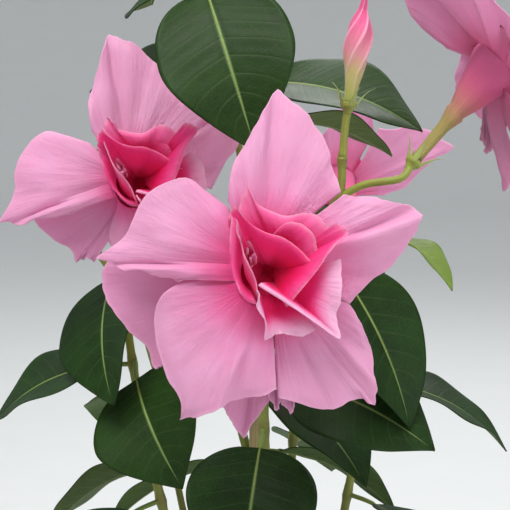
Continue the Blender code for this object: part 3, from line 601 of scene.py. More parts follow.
class Line:
    """A smooth centreline through points in mm, with a radius that tapers from its first end to its last."""

    def __init__(self, knots, first_radius=1.0, last_radius=1.0, step=STEM_STEP):
        self.knots = [Vector(p) for p in knots]
        self.ends = (first_radius, last_radius)
        length = sum((b - a).length for a, b in zip(self.knots, self.knots[1:]))
        count = max(2, round(length / step))
        self.points = [spline(self.knots, i / count) for i in range(count + 1)]
        self.radii = [first_radius + (last_radius - first_radius) * i / count for i in range(count + 1)]
        self.distances = [0.0]
        for a, b in zip(self.points, self.points[1:]):
            self.distances.append(self.distances[-1] + (b - a).length)

    def finer(self, step=FINE_STEP):
        return Line(self.knots, *self.ends, step=step)

    def tangent(self, i):
        before, after = self.points[max(i - 1, 0)], self.points[min(i + 1, len(self.points) - 1)]
        return (after - before).normalized()

    def frames(self, wide=None):
        """Two directions across the line at each of its points, carried along it without a twist."""
        found = []
        side = Vector(wide) if wide is not None else self.tangent(0).orthogonal()
        for i in range(len(self.points)):
            along = self.tangent(i)
            side = (side - along * side.dot(along)).normalized()
            found.append((side.copy(), along.cross(side)))
        return found

    def at_height(self, height):
        """(point, direction, radius) where the line first reaches a height."""
        for i, (a, b) in enumerate(zip(self.points, self.points[1:])):
            if a.z <= height <= b.z:
                share = (height - a.z) / max(b.z - a.z, 1e-6)
                radius = self.radii[i] + (self.radii[i + 1] - self.radii[i]) * share
                return a.lerp(b, share), (b - a).normalized(), radius
        return self.points[-1], (self.points[-1] - self.points[-2]).normalized(), self.radii[-1]


def facing(direction, spin=0.0):
    """A turn that takes +Z to the direction and keeps +Y as near to up as it can, after a spin in degrees."""
    z = Vector(direction).normalized()
    hint = Vector((0.0, 1.0, 0.0)) if abs(z.z) > 0.95 else Vector((0.0, 0.0, 1.0))
    x = hint.cross(z).normalized()
    turn = Matrix((x, z.cross(x), z)).transposed().to_4x4()
    return turn @ Matrix.Rotation(math.radians(spin), 4, "Z")


def standing(bottom, direction):
    """A place with its origin at a point and +Z along a direction."""
    return Matrix.Translation(Vector(bottom)) @ Vector(direction).to_track_quat("Z", "Y").to_matrix().to_4x4()


# Petals


def bell_radius(depth):
    """The radius of the tube and bell at a depth below the mouth."""
    for (low, a), (high, b) in zip(BELL, BELL[1:]):
        if depth <= high:
            return a + (b - a) * max(0.0, (depth - low) / (high - low))
    return BELL[-1][1]


def wall_middle(depth):
    outside = bell_radius(depth)
    inside = outside - BELL_WALL
    return (inside + outside * math.cos(math.pi / TUBE_SIDES)) / 2


OUTER, REAR, INNER, SMALL = range(4)  # the kinds of lobes
SLIP_DEPTH = -6
PLAIN_LOBE = {
    "flare": 1.0,
    "rise": 3.0,
    "dome": 0.0,
    "ridge": 0.0,
    "inset": 1.0,
    "folds": (),
    "tint": (0.2, 0.7, 0.3),
}


class Lobe:
    """One lobe of a corolla, seen from the front with the mouth's middle at 0, 0 and +Z towards the viewer.

    roots are two angles in degrees round the bell, at a depth. left and right are points of the margin in
    mm on both sides of the tip. The form is what differs from PLAIN_LOBE. flare above 1 keeps the lobe
    upright before it spreads, and rise above 1 bends it outward near its root. dome lifts its middle, and
    ridge lifts or sinks a line down its middle. inset draws its root in towards the middle of the throat.
    folds are (u, height in mm, width, v where it starts). tint is where its colour starts and ends, from 0
    for the throat's crimson to 1 for the palest pink, and the v where it begins to change.
    """

    def __init__(self, roots, depth, left, tip, right, **form):
        tip = Vector(tip)
        self.roots = roots
        self.depth = depth
        self.left = [Vector(p) for p in left] + [tip]
        self.right = [tip] + [Vector(p) for p in right]
        self.form = PLAIN_LOBE | form

    def moved(self, degrees, size, lift):
        """The same lobe with its margin turned round the mouth, sized and lifted, on the same root."""
        turn = Matrix.Rotation(math.radians(degrees), 3, "Z")
        raised = Vector((0.0, 0.0, lift))
        left, right = ([turn @ (p * size) + raised for p in side] for side in (self.left, self.right))
        return Lobe(self.roots, self.depth, left[:-1], left[-1], right[1:], **self.form)

    def point(self, u, v):
        """A point of the lobe in mm. u runs along the margin, and v from the root to the margin."""
        form = self.form
        angle = math.radians(self.roots[0] + (self.roots[1] - self.roots[0]) * u)
        radius = wall_middle(self.depth) * form["inset"]
        root = Vector((math.cos(angle), math.sin(angle), 0.0)) * radius
        root += Vector((TUBE_LEAN, 0.0, 1.0)) * self.depth
        edge = spline(self.left, u * 2) if u < 0.5 else spline(self.right, u * 2 - 1)
        spread = v ** form["flare"]
        climb = 1.0 - max(0.0, 1.0 - v) ** form["rise"]
        point = root.lerp(edge, spread)
        point.z = root.z + (edge.z - root.z) * climb
        middle = 1.0 - abs(2 * u - 1)
        point.z += (form["dome"] * middle + form["ridge"] * v * middle**4) * math.sin(math.pi * v)
        for at, height, width, start in form["folds"]:
            point.z += height * bump_at(u, at, width) * smooth(start, start + 0.35, v) * (1.0 - 0.4 * v**4)
        return point


OUTER_LOBES = (
    Lobe(
        (133, 69), -2,
        [(-12.2, 20.9, 1), (-11.6, 26.7, 1), (-10.2, 32.5, 0), (-7, 37.4, 0), (-4.1, 42.6, -1), (-1, 49, -3)],
        (2.2, 53.6, -5),
        [(6.5, 50.4, -4), (10.4, 47.2, -4), (14.9, 40.8, -4), (17.9, 35, -4), (19.2, 28.8, -5),
         (21, 23.4, -5)],
        dome=1.8, ridge=-1.0,
        folds=((0.46, -1.3, 0.035, 0.45), (0.40, 0.9, 0.05, 0.4), (0.72, -0.9, 0.05, 0.2)),
    ),
    Lobe(
        (66, -17), -2,
        [(21.5, 22.5, -1), (26.5, 22.1, -1), (32, 21.4, -1.5), (37, 20.2, -2), (41.5, 19, -2.5)],
        (45, 16.8, -3),
        [(43.6, 13.5, -5), (41.6, 8.8, -7), (36.6, 2.2, -8), (31.5, -1.6, -8), (27, -5.4, -6.5),
         (23.4, -9.4, -5)],
        dome=1.6, ridge=1.2,
        folds=((0.44, -2.8, 0.05, 0.3), (0.60, 3.0, 0.10, 0.25), (0.85, -0.8, 0.05, 0.1)),
    ),
    Lobe(
        (-20, -83), -2,
        [(23.4, -9.6, -1), (25.8, -13.6, -1), (28, -18.4, -2), (29.6, -23.4, -3), (30.8, -29.6, -4),
         (31.6, -34.6, -5)],
        (31.2, -39.4, -6),
        [(28.6, -37.8, -5), (25, -37.6, -5), (20.6, -39.9, -5), (15.5, -40.5, -5), (8.6, -38.9, -4.5),
         (2.4, -36.6, -4)],
        dome=1.6, ridge=-1.0,
        folds=((0.38, 1.6, 0.05, 0.35), (0.29, -0.9, 0.05, 0.3), (0.80, -1.0, 0.04, 0.2)),
    ),
    Lobe(
        (-86, -161), -2,
        [(2, -34.2, 0), (-3, -36.4, 0), (-9, -37, -0.5), (-14, -39.2, -1), (-20, -42.2, -2.5)],
        (-27, -44, -4),
        [(-26.6, -38, -3.5), (-30.4, -29.6, -3), (-33.6, -20, -2.5), (-33.4, -12, -2), (-29.5, -5.2, -1),
         (-18, -2.4, -2)],
        dome=3.0, ridge=1.0,
        folds=((0.32, 1.5, 0.04, 0.3), (0.24, -1.0, 0.04, 0.3), (0.62, -0.8, 0.04, 0.3),
               (0.76, 0.7, 0.04, 0.4)),
    ),
    Lobe(
        (-164, -224), -2,
        [(-26, -2, 1), (-30, -1.6, 0.5), (-36, -0.2, 0), (-43, 1.6, -2)],
        (-50.6, 4, -5),
        [(-45.5, 8, -3.5), (-41.6, 12, -2), (-38.8, 19, -1.5), (-33.5, 24, -1), (-24.6, 27.4, 0),
         (-17.6, 23.6, -0.5), (-11.8, 18.8, -1)],
        dome=4.4, ridge=-0.8,
        folds=((0.43, -2.4, 0.045, 0.3), (0.33, 1.0, 0.06, 0.4), (0.62, -0.8, 0.04, 0.5)),
    ),
)
REAR_LOBES = (
    Lobe(
        (-120, -176), -6, [(-27, -31, -12), (-31, -28, -12)], (-34.5, -29.5, -13),
        [(-37, -22.5, -12), (-42.5, -17.5, -11.5), (-48.5, -9.5, -10.5), (-50.3, -2, -10), (-48, 4, -10)],
        rise=2.0, folds=((0.35, -1.0, 0.05, 0.4),),
    ),
    Lobe(
        (-66, -116), -6, [(1, -33, -11), (0, -38, -12)], (-8, -51, -17), [(-13, -42, -13), (-16, -34, -12)],
        rise=2.0, folds=((0.45, 1.2, 0.06, 0.3),),
    ),
)
INNER_LOBES = (
    Lobe(
        (118, 42), -6, [(-12, 13, 11), (-11.5, 16, 12)], (-9.8, 18.4, 12),
        [(-5.4, 13.4, 10.5), (-1, 11, 9.6), (3.4, 9.9, 9), (7, 7.4, 8.2), (10.6, 4, 7.5), (14, 0.5, 7)],
        flare=1.15, rise=1.35, inset=0.24, tint=(0.06, 0.38, 0.3),
    ),
    Lobe(
        (114, 34), -5, [(-9, 16, 4), (-8.5, 20, 4)], (-6.4, 24.6, 4),
        [(-4.6, 20.4, 4.5), (0, 17.8, 5), (5, 16.2, 4.5), (10, 17.2, 5.2), (14, 16.2, 4.5), (16.8, 12.4, 4.5),
         (18, 7, 4.5)],
        flare=1.6, rise=2.0, inset=0.9, tint=(0.30, 0.60, 0.3),
        folds=((0.72, 0.9, 0.03, 0.5), (0.80, -0.8, 0.03, 0.5), (0.86, 0.7, 0.03, 0.5)),
    ),
    Lobe(
        (38, -14), -6, [(19, 14, 7), (21, 13, 8)], (22.6, 11.2, 8.5),
        [(17.4, 6.4, 9), (14.4, 2.4, 9.4), (11.4, -1.6, 9.4), (8.2, -5.6, 8.8), (4.2, -10, 7)],
        flare=1.15, rise=1.4, inset=0.26, tint=(0.10, 0.50, 0.3),
    ),
    Lobe(
        (-18, -68), -6, [(20, 4, 6), (20.6, -2, 7), (20, -8, 7), (18.8, -13, 7)], (20, -19, 7),
        [(15, -15.6, 8.4), (10, -12, 9.4), (5, -8.6, 10), (0.8, -5.6, 10.2), (-3.2, -3, 9.6)],
        flare=1.3, rise=1.6, inset=0.40, tint=(0.28, 1.05, 0.58),
    ),
    Lobe(
        (-72, -118), -10, [(13.5, -16, 4), (8, -18.3, 5), (2.6, -17.8, 5)], (-0.6, -19.3, 6),
        [(-1.6, -13.6, 9.4), (-2.6, -8.6, 11), (-3.4, -5, 11.4)],
        flare=1.5, rise=1.8, inset=0.7, tint=(0.30, 1.05, 0.60),
    ),
    Lobe(
        (-122, -238), -10, [(-3.8, -9, 10), (-7.8, -6.4, 11.6), (-10.2, -1, 12.3)], (-11.4, 7, 12.7),
        [(-11, 13, 12.3), (-10.4, 17, 11.6)], flare=2.4, rise=2.0, inset=0.9, tint=(0.20, 0.50, 0.3),
    ),
)
# Small lobes and pollen parts in the throat, and two narrow slips behind the outer lobes
SMALL_LOBES = (
    Lobe(
        (-128, -215), -13, [(-2.8, -8, 9.5), (-4.4, -1, 11), (-7, 4.4, 12)], (-8.4, 10, 12.4),
        [(-9, 14, 11.6), (-9.2, 16, 11)], flare=2.2, rise=1.8, inset=0.72, tint=(0.08, 0.50, 0.3),
    ),
    Lobe(
        (84, 14), -9, [(0.6, 10.4, 4.6), (2.6, 13, 5.2), (5.4, 14.4, 5.4)], (8.6, 14, 5.6),
        [(11.4, 12.2, 5.8), (13.2, 9, 5.8), (13.8, 5, 5.6)],
        flare=1.5, rise=1.9, inset=0.88, tint=(0.24, 0.50, 0.3),
    ),
    Lobe(
        (165, 132), -12, [(-6.6, 5.4, 4.6), (-7, 8.2, 6)], (-6.6, 9.6, 6.6), [(-5.2, 8, 6), (-4.4, 6, 4.6)],
        flare=1.6, rise=1.6, inset=0.7, tint=(0.20, 0.60, 0.3),
    ),
    Lobe(
        (186, 168), -12, [(-5, 1.8, 4), (-5.4, 4.4, 5)], (-4.4, 5.6, 5.4), [(-3.8, 4.4, 5), (-3.8, 2.6, 4)],
        flare=1.6, rise=1.6, inset=0.66, tint=(0.20, 0.60, 0.3),
    ),
    Lobe(
        (-84, -92), SLIP_DEPTH, [(3.4, -36, -9), (3.2, -39.4, -11)], (2.4, -41.8, -12),
        [(1.4, -39.2, -11), (1, -36, -9)], rise=2.0,
    ),
    Lobe(
        (-76, -82), SLIP_DEPTH, [(7.4, -36, -9), (7, -39.8, -11)], (6.2, -42.6, -12),
        [(5.2, -39.6, -11), (4.8, -36, -9)], rise=2.0,
    ),
)
# Wrinkled spots near the throat: a place across the flower, and a radius, in mm
WRINKLED = ((11.6, 18.0, 5.0), (23.0, -5.0, 4.5))


class Bloom:
    """Where one flower stands: its mouth, the way it faces, its spin in degrees, its size and its seed.

    swept gives some lobes a turn in degrees, a size and a lift of their own. The lobes count from the first
    outer lobe through the rear ones to the last inner one. blush is how far out in mm its deep pink fades.
    """

    def __init__(self, name, mouth, faces, spin, size, seed, swept=None, blush=38.0):
        self.name = name
        self.seed = seed
        self.blush = blush
        self.swept = swept or {}
        self.place = Matrix.Translation(Vector(mouth)) @ facing(faces, spin) @ Matrix.Scale(size, 4)

    def lobes(self):
        """Its lobes, each moved a little at random unless the seed is 0."""
        rng = random.Random(self.seed)
        found = []
        for i, lobe in enumerate(OUTER_LOBES + REAR_LOBES + INNER_LOBES + SMALL_LOBES):
            degrees, size, lift = rng.uniform(-5.0, 5.0), rng.uniform(0.94, 1.04), rng.uniform(-2.5, 2.0)
            if i in self.swept:
                degrees, size, lift = self.swept[i]
            found.append(lobe.moved(degrees, size, lift) if self.seed else lobe)
        return found

    def tube_end(self):
        return self.place @ Vector((-TUBE_LEAN * TUBE_LENGTH, 0.0, -TUBE_LENGTH))

    def tube_direction(self):
        return (self.place.to_3x3() @ Vector((TUBE_LEAN, 0.0, 1.0))).normalized()


# Lobes of the left flower that are turned in, and so leave room for a leaf and the front flower
MAKES_ROOM = {3: (32.0, 0.72, -8.0), 4: (4.0, 1.0, -1.0), 5: (-6.0, 0.78, -1.0), 6: (24.0, 0.7, 0.0)}
BLOOMS = (
    Bloom("corolla_front", (4.3, -95.7, 295.1), (0.0, -0.990, 0.139), 0.0, 1.0, 0),
    Bloom("corolla_left", (-38.0, -38.0, 317.0), (0.12, -0.98, 0.16), 16.0, 0.97, 3, MAKES_ROOM, blush=24.0),
    Bloom("corolla_right", (79.0, -42.0, 356.0), (0.76, 0.18, 0.62), 40.0, 0.94, 5),
    Bloom("corolla_back", (34.0, 91.8, 305.0), (-0.25, 0.93, 0.25), 75.0, 0.98, 8),
)
FINER = BLOOMS[:2]  # seen from nearby, so their lobes have more rows and columns


def closed_round(piece, columns, rows, shape, slot=0):
    """A sheet whose first and last columns meet."""
    made, _ = piece.grid(columns, rows, shape, lambda u, v: (u * 2.0, v), slot)
    bmesh.ops.remove_doubles(piece.bm, verts=made, dist=1e-4)


def round_tube(angle, radius, depth):
    return Vector((math.cos(angle), math.sin(angle), 0.0)) * radius + Vector((TUBE_LEAN, 0.0, 1.0)) * depth


def add_bell(piece):
    """The tube and its bell, leaning aside, as one sheet closed round."""

    def shape(u, v):
        depth = -TUBE_LENGTH + (TUBE_LENGTH - 1.0) * v
        angle = -2 * math.pi * u
        radius = wall_middle(depth) if depth > -24.0 else bell_radius(depth) - 0.3
        radius *= 1.0 + 0.035 * math.cos(5 * angle) * smooth(-34.0, -18.0, depth)
        glow = 0.12 + 0.34 * smooth(-24.0, -2.0, depth)
        tube = 0.92 * (1.0 - smooth(-32.0, -10.0, depth))
        return round_tube(angle, radius, depth), {"glow": glow, "tube": tube}

    closed_round(piece, 40, 36, shape)


def add_throat(piece):
    """The folded lining of the throat, which narrows to a dark middle."""

    def shape(u, v):
        angle = -2 * math.pi * u
        radius = 0.05 + (wall_middle(-3.0) - 0.6) * v
        folded = 0.12 * math.cos(3 * angle + 4.0 * v) + 0.06 * math.cos(7 * angle - 3.0 * v)
        radius *= 1.0 + folded * math.sin(math.pi * v)
        return round_tube(angle, radius, THROAT_BOTTOM + THROAT_RISE * v**0.9), {"glow": 0.40 * v**0.8}

    closed_round(piece, 60, 24, shape, slot=2)


def add_lobe(piece, lobe, kind, number, columns, rows, bloom):
    """One lobe as a sheet with its waves, its folds, its margin and its colour values."""
    start = Vector((number * 3.7, bloom.seed * 5.1, kind * 2.3))
    waves = 1.6 + 0.5 * noise.noise(start)
    outer = kind in (OUTER, REAR)

    def wave(x, y, z):
        return noise.noise(Vector((x, y, z)) + start)

    def along(t):
        return 1.0 - (1.0 - t) ** CROWDED

    def shape(u, t):
        v = along(t)
        nibble = wave(u * 11.0, 3.0, 1.0) + 0.6 * wave(u * 27.0, 5.0, 2.0)
        point = lobe.point(u, v * (1.0 + 0.022 * nibble * v**3))
        if outer:
            reach = math.hypot(point.x, point.y)
            glow = 0.38 + 0.62 * smooth(7.0, bloom.blush, reach) ** 0.8 - (0.05 if kind == REAR else 0.0)
        else:
            low, high, changes_at = lobe.form["tint"]
            glow = low + (high - low) * smooth(changes_at, 0.98, v) + 0.07 * wave(u * 4, v * 2, 0.0)
        # edge marks the pale margin: partly the petal's own colour, partly a painted highlight
        rim = 0.5 - 0.5 * smooth(0.0, 0.015, min(u, 1.0 - u))
        edge = max(smooth(0.970 if outer else 0.93, 1.0, v), rim)
        spots = [bump_at(math.hypot(point.x - x, point.y - y), 0.0, radius) for x, y, radius in WRINKLED]
        wrinkled = max(spots) if kind == OUTER else 0.0
        # shade is 1 on the rear lobes and the slips, which are given a painted mauve shade
        return point, {"glow": glow, "edge": edge, "shade": float(kind == REAR), "wrinkled": wrinkled}

    def chart(u, t):
        return u + number * 1.37 + bloom.seed * 0.71, along(t)

    made, shares = piece.grid(columns, rows, shape, chart, slot=0 if outer else 2)
    piece.bm.normal_update()
    moves = {}
    for vertex in made:
        u, v = shares[vertex][0], along(shares[vertex][1])
        broad = noise.noise(vertex.co / 14.0 + start) * (1.1 if outer else 0.6) * v
        fan = wave(u * 9.0, v * 1.4, 0.0) * (0.6 if outer else 0.25) * v * (1.0 - 0.5 * v)
        fine = wave(u * 24.0, v * 4.0, 3.0) * (0.26 if outer else 0.12) * v
        frill = math.sin(2 * math.pi * (u * waves * 2 + number * 0.37)) * v**7 * (0.7 if outer else 0.4)
        roll = -1.1 * smooth(0.84, 1.0, v) ** 2 * (0.5 + 0.9 * wave(u * 5.0, 7.0, 0.0))
        moves[vertex] = vertex.normal * (broad + fan + fine + frill + roll)
    for vertex, move in moves.items():
        vertex.co += move


def make_flower(bloom):
    # the shade layer carries the painted shade of the rear lobes
    piece = Piece(("glow", "edge", "tube", "shade", "wrinkled"))
    add_bell(piece)
    add_throat(piece)
    size = (64, 36) if bloom in FINER else (40, 24)
    groups = {OUTER: OUTER_LOBES, REAR: REAR_LOBES, INNER: INNER_LOBES, SMALL: SMALL_LOBES}
    kinds = [kind for kind, lobes in groups.items() for _ in lobes]
    for number, (lobe, kind) in enumerate(zip(bloom.lobes(), kinds)):
        if kind == SMALL:
            # the slips count as rear lobes, so they take the painted mauve shade too
            add_lobe(piece, lobe, REAR if lobe.depth == SLIP_DEPTH else SMALL, number, 16, 14, bloom)
        else:
            add_lobe(piece, lobe, kind, number, *size, bloom)
    piece.thicken(PETAL_THICKNESS, PETAL)
    piece.standing_for(bloom.name, bloom.name.replace("corolla", "flower"), PETAL, bloom.place)


# Stems, calyxes and buds


def twining_points():
    """The vine: up from the soil round the cane, then off its top, over and forward."""
    points = [(-4.5, 17.5, PLANTED_TO), (-4.1, 16.9, 91.0), (-3.6, 15.9, 104.0)]
    height = SOIL_LEVEL + 4.0
    while height < TWINE_LEAVES_CANE_AT:
        turn = math.radians(TWINE_START + 360.0 * (height - SOIL_LEVEL) / TWINE_PITCH)
        x, y = CANE_AT[0] + TWINE_RADIUS * math.cos(turn), CANE_AT[1] + TWINE_RADIUS * math.sin(turn)
        points.append((x, y, height))
        height += TWINE_PITCH / 9
    return points + [(-7.0, -1.0, 336.0), (-6.0, -13.0, 354.0), (-9.0, -25.0, 373.0), (-19.0, -34.0, 388.0)]


STEMS = {
    "vine": Line(twining_points(), 2.3, 1.2),
    "front": Line(
        [(10, -7, 78), (10, -12, 112), (9, -19, 150), (6, -29, 195), (3, -38, 235), (6, -40, 268),
         (18, -44, 296), (27, -51, 313), (28, -53, 326)], 2.1, 1.3),
    "left": Line(
        [(-10, -1, 78), (-15, -6, 112), (-23, -13, 150), (-33, -19, 195), (-42, -19, 240), (-47, -10, 272),
         (-48, 2, 292)], 2.1, 1.3),
    "back": Line(
        [(5, 18, 78), (8, 23, 112), (12, 29, 150), (15, 38, 195), (17, 50, 240), (24, 58, 275)], 2.1, 1.3),
    "right": Line(
        [(13, 4, 78), (19, 4, 112), (27, 3, 150), (34, 0, 190), (39, -4, 228), (39, -8, 262), (36, -11, 296)],
        2.0, 1.2),
    "rear_left": Line(
        [(-10, 16, 78), (-16, 21, 112), (-23, 27, 150), (-32, 36, 190), (-39, 44, 228)], 1.9, 1.2),
}

# Flowers: the stem and height they grow from, points their pedicel passes, and the flower itself
FLOWERS = (
    ("front", 262, [(-1, -40, 277)], BLOOMS[0]),
    ("left", 286, [(-48, 8, 300)], BLOOMS[1]),
    ("front", 312, [(35, -54, 317)], BLOOMS[2]),
    ("back", 270, [(30, 58, 288)], BLOOMS[3]),
)
# Buds: the stem and height they grow from, points their pedicel passes, their foot, their direction and size
BUDS = (
    ("bud_front", "front", 325, [], (29.5, -53.5, 340.5), (0.14, -0.05, 1.0), 0.9),
    ("bud_left", "left", 276, [(-56, -6, 287)], (-62, -5, 299), (-0.5, 0.1, 0.85), 0.75),
    ("bud_back", "back", 262, [(14, 60, 280)], (8, 63, 296), (-0.25, 0.15, 0.95), 0.8),
    ("bud_rear_left", "rear_left", 226, [(-43, 46, 240)], (-46, 48, 252), (-0.25, 0.3, 0.92), 0.8),
)

# Leaves: the stem and height they grow from, the bearing of their tip in degrees from +X towards +Y,
# how far out and how far down the tip is, and the blade's width
LEAVES = (
    ("vine", 386, -58, 34, 58, 44),
    ("vine", 384, 115, 52, 6, 36),
    ("vine", 349, -18, 66, 16, 45),
    ("vine", 350, 165, 56, 4, 38),
    ("vine", 334, -171, 64, 20, 40),
    ("vine", 332, 14, 60, 10, 40),
    ("vine", 298, 22, 58, 24, 38),
    ("vine", 296, 166, 56, 20, 38),
    ("vine", 268, 98, 56, 24, 40),
    ("vine", 272, -108, 48, 26, 36),
    ("vine", 239, -47, 60, 28, 40),
    ("vine", 236, 155, 62, 26, 40),
    ("vine", 207, 12, 60, 28, 34),
    ("vine", 204, 186, 58, 28, 38),
    ("vine", 179, 114, 56, 24, 34),
    ("vine", 176, -118, 54, 26, 30),
    ("vine", 144, 176, 56, 12, 33),
    ("front", 298, -31, 36, 59, 36),
    ("front", 250, -25, 60, 18, 42),
    ("front", 232, -100, 46, 40, 42),
    ("front", 196, -48, 54, 34, 38),
    ("front", 192, -112, 52, 32, 36),
    ("front", 150, -24, 52, 14, 34),
    ("front", 146, -104, 56, 8, 36),
    ("left", 284, -90, 42, 42, 42),
    ("left", 250, -62, 42, 34, 42),
    ("left", 250, 175, 52, 24, 38),
    ("left", 200, -140, 54, 32, 38),
    ("left", 150, -140, 52, 12, 36),
    ("back", 264, 130, 52, 26, 38),
    ("back", 246, 30, 58, 26, 40),
    ("back", 204, 70, 58, 30, 40),
    ("back", 156, 68, 54, 14, 36),
    ("right", 294, -26, 36, 16, 28),
    ("right", 290, 150, 30, 4, 22),
    ("right", 240, 0, 54, 26, 38),
    ("right", 196, -40, 52, 30, 36),
    ("right", 156, 0, 52, 14, 34),
    ("rear_left", 222, 125, 50, 24, 36),
    ("rear_left", 196, 190, 52, 28, 36),
    ("rear_left", 150, 130, 52, 14, 34),
)
YOUNG_LEAVES = (("right", 294), ("right", 290))


def add_calyx(piece, foot, direction):
    """A small cup with narrow sepals that bend outward."""
    place = standing(foot, direction)
    cup = Line([place @ Vector((0.0, 0.0, z)) for z in (-1.0, 0.6, 1.8, CALYX_HEIGHT)], step=0.4)

    def cup_size(share, _):
        return PEDICEL_RADIUS + (CALYX_RADIUS - 0.5 - PEDICEL_RADIUS) * smooth(0.0, 0.75, share)

    def sepal_size(share, _):
        half = SEPAL_HALF_WIDTH * (0.75 + 0.25 * math.sin(math.pi * min(1.0, share * 2))) * (1.0 - share**1.6)
        return max(half, 0.05), max(SEPAL_HALF_THICKNESS * (1.0 - share), 0.04)

    piece.rod(cup, cup_size, 20)
    for i in range(SEPALS):
        angle = 2 * math.pi * i / SEPALS
        out = Vector((math.cos(angle), math.sin(angle), 0.0))
        points = []
        for j in range(5):
            along = SEPAL_LENGTH * j / 4
            bend = math.radians(SEPAL_LEAN) + math.radians(SEPAL_BEND) * (j / 4) ** 2
            aside = out * (CALYX_RADIUS - 1.2 + math.sin(bend) * along)
            points.append(aside + UP * (1.2 + math.cos(bend) * along))
        wide = place.to_3x3() @ UP.cross(out)
        line = Line([place @ point for point in points], step=0.7)
        piece.rod(line, sepal_size, 8, wide, layers=lambda share, _: {"pale": 0.3 + 0.7 * share})


def add_pedicel(piece, stem, height, passing, end, direction):
    start, _, _ = STEMS[stem].at_height(height)
    line = Line([start, *passing, end - direction * 5.0, end + direction * 0.5], step=1.8)

    def size(share, _):
        return PEDICEL_RADIUS * (1.0 + 0.35 * bump_at(share, 0.0, 0.08) + 0.12 * smooth(0.85, 1.0, share))

    piece.rod(line, size, 14)


def make_shoot(stem):
    piece = Piece(("ring", "pale"))
    line = STEMS[stem].finer()
    heights = [row[1] for row in LEAVES + FLOWERS if row[0] == stem]
    heights += [row[2] for row in BUDS if row[1] == stem]
    count = len(line.points) - 1

    def swelling(point):
        return max((bump_at(point.z, height, 2.2) for height in heights), default=0.0)

    def size(share, _):
        i = min(round(share * count), count)
        return line.radii[i] * (1.0 + NODE_SWELLING * swelling(line.points[i]))

    piece.rod(line, size, 16, layers=lambda _, point: {"ring": swelling(point)})
    grown = []
    for grows_from, height, passing, bloom in FLOWERS:
        direction = bloom.tube_direction()
        foot = bloom.tube_end() - direction * (CALYX_HEIGHT + TUBE_SEAT)
        grown.append((grows_from, height, passing, foot, direction))
    for _, grows_from, height, passing, foot, direction, _ in BUDS:
        grown.append((grows_from, height, passing, Vector(foot), Vector(direction).normalized()))
    for grows_from, height, passing, foot, direction in grown:
        if grows_from == stem:
            add_pedicel(piece, stem, height, passing, foot, direction)
            add_calyx(piece, foot, direction)
    twining = stem == "vine"
    node, name = ("vine_twining", "twining_stem") if twining else ("shoot_" + stem, "stem_" + stem)
    piece.standing_for(node, name, [STEM])


def make_bud(node, foot, direction, size):
    """A closed bud: a slender spindle of five rolled lobes, twisted to its point."""
    along = Vector(direction).normalized()
    piece = Piece(("height", "edge"))

    def shape(u, share):
        angle = 2 * math.pi * u
        radius = TUBE_RADIUS + (BUD_RADIUS - TUBE_RADIUS) * math.sin(math.pi * min(1.0, share * 1.25) ** 1.6)
        if share > BUD_TAPER_FROM:
            radius *= math.cos((share - BUD_TAPER_FROM) / (1.0 - BUD_TAPER_FROM) * math.radians(84.0))
        rolled = (u * 5.0) % 1.0
        fade = min(1.0, share * 3)
        radius *= 1.0 + ((0.5 - rolled) * 0.20 + 0.06 * math.cos(5 * angle)) * fade
        turn = angle + math.radians(BUD_TWIST) * max(0.0, share - BUD_TWIST_FROM)
        height = share * BUD_LENGTH - (BUD_ROOT if share == 0.0 else 0.0)
        values = {"height": share, "edge": smooth(0.84, 0.98, 1.0 - rolled) * fade}
        return Vector((math.cos(turn) * radius, math.sin(turn) * radius, height)), values

    made, _ = piece.grid(60, 70, shape, lambda u, v: (u, v * 3.0))
    bmesh.ops.remove_doubles(piece.bm, verts=made, dist=1e-4)
    bmesh.ops.holes_fill(piece.bm, edges=[edge for edge in piece.bm.edges if edge.is_boundary], sides=0)
    bmesh.ops.recalc_face_normals(piece.bm, faces=piece.bm.faces)
    for face in piece.bm.faces:
        face.smooth = True
    place = standing(Vector(foot) + along * (CALYX_HEIGHT + GAP), along) @ Matrix.Scale(size, 4)
    piece.standing_for(node, "closed_" + node, [BUD], place)


# Leaves


def blade_half_width(share):
    """Half the blade's width for a half width of 1: broadest below its middle, with a drawn-out tip."""
    if share < WIDEST_AT:
        return math.sqrt(max(0.0, 1.0 - (1.0 - share / WIDEST_AT) ** 2.2))
    past = (share - WIDEST_AT) / (1.0 - WIDEST_AT)
    return math.cos(past * math.pi / 2) ** 0.85 * (1.0 - 0.22 * past * past)


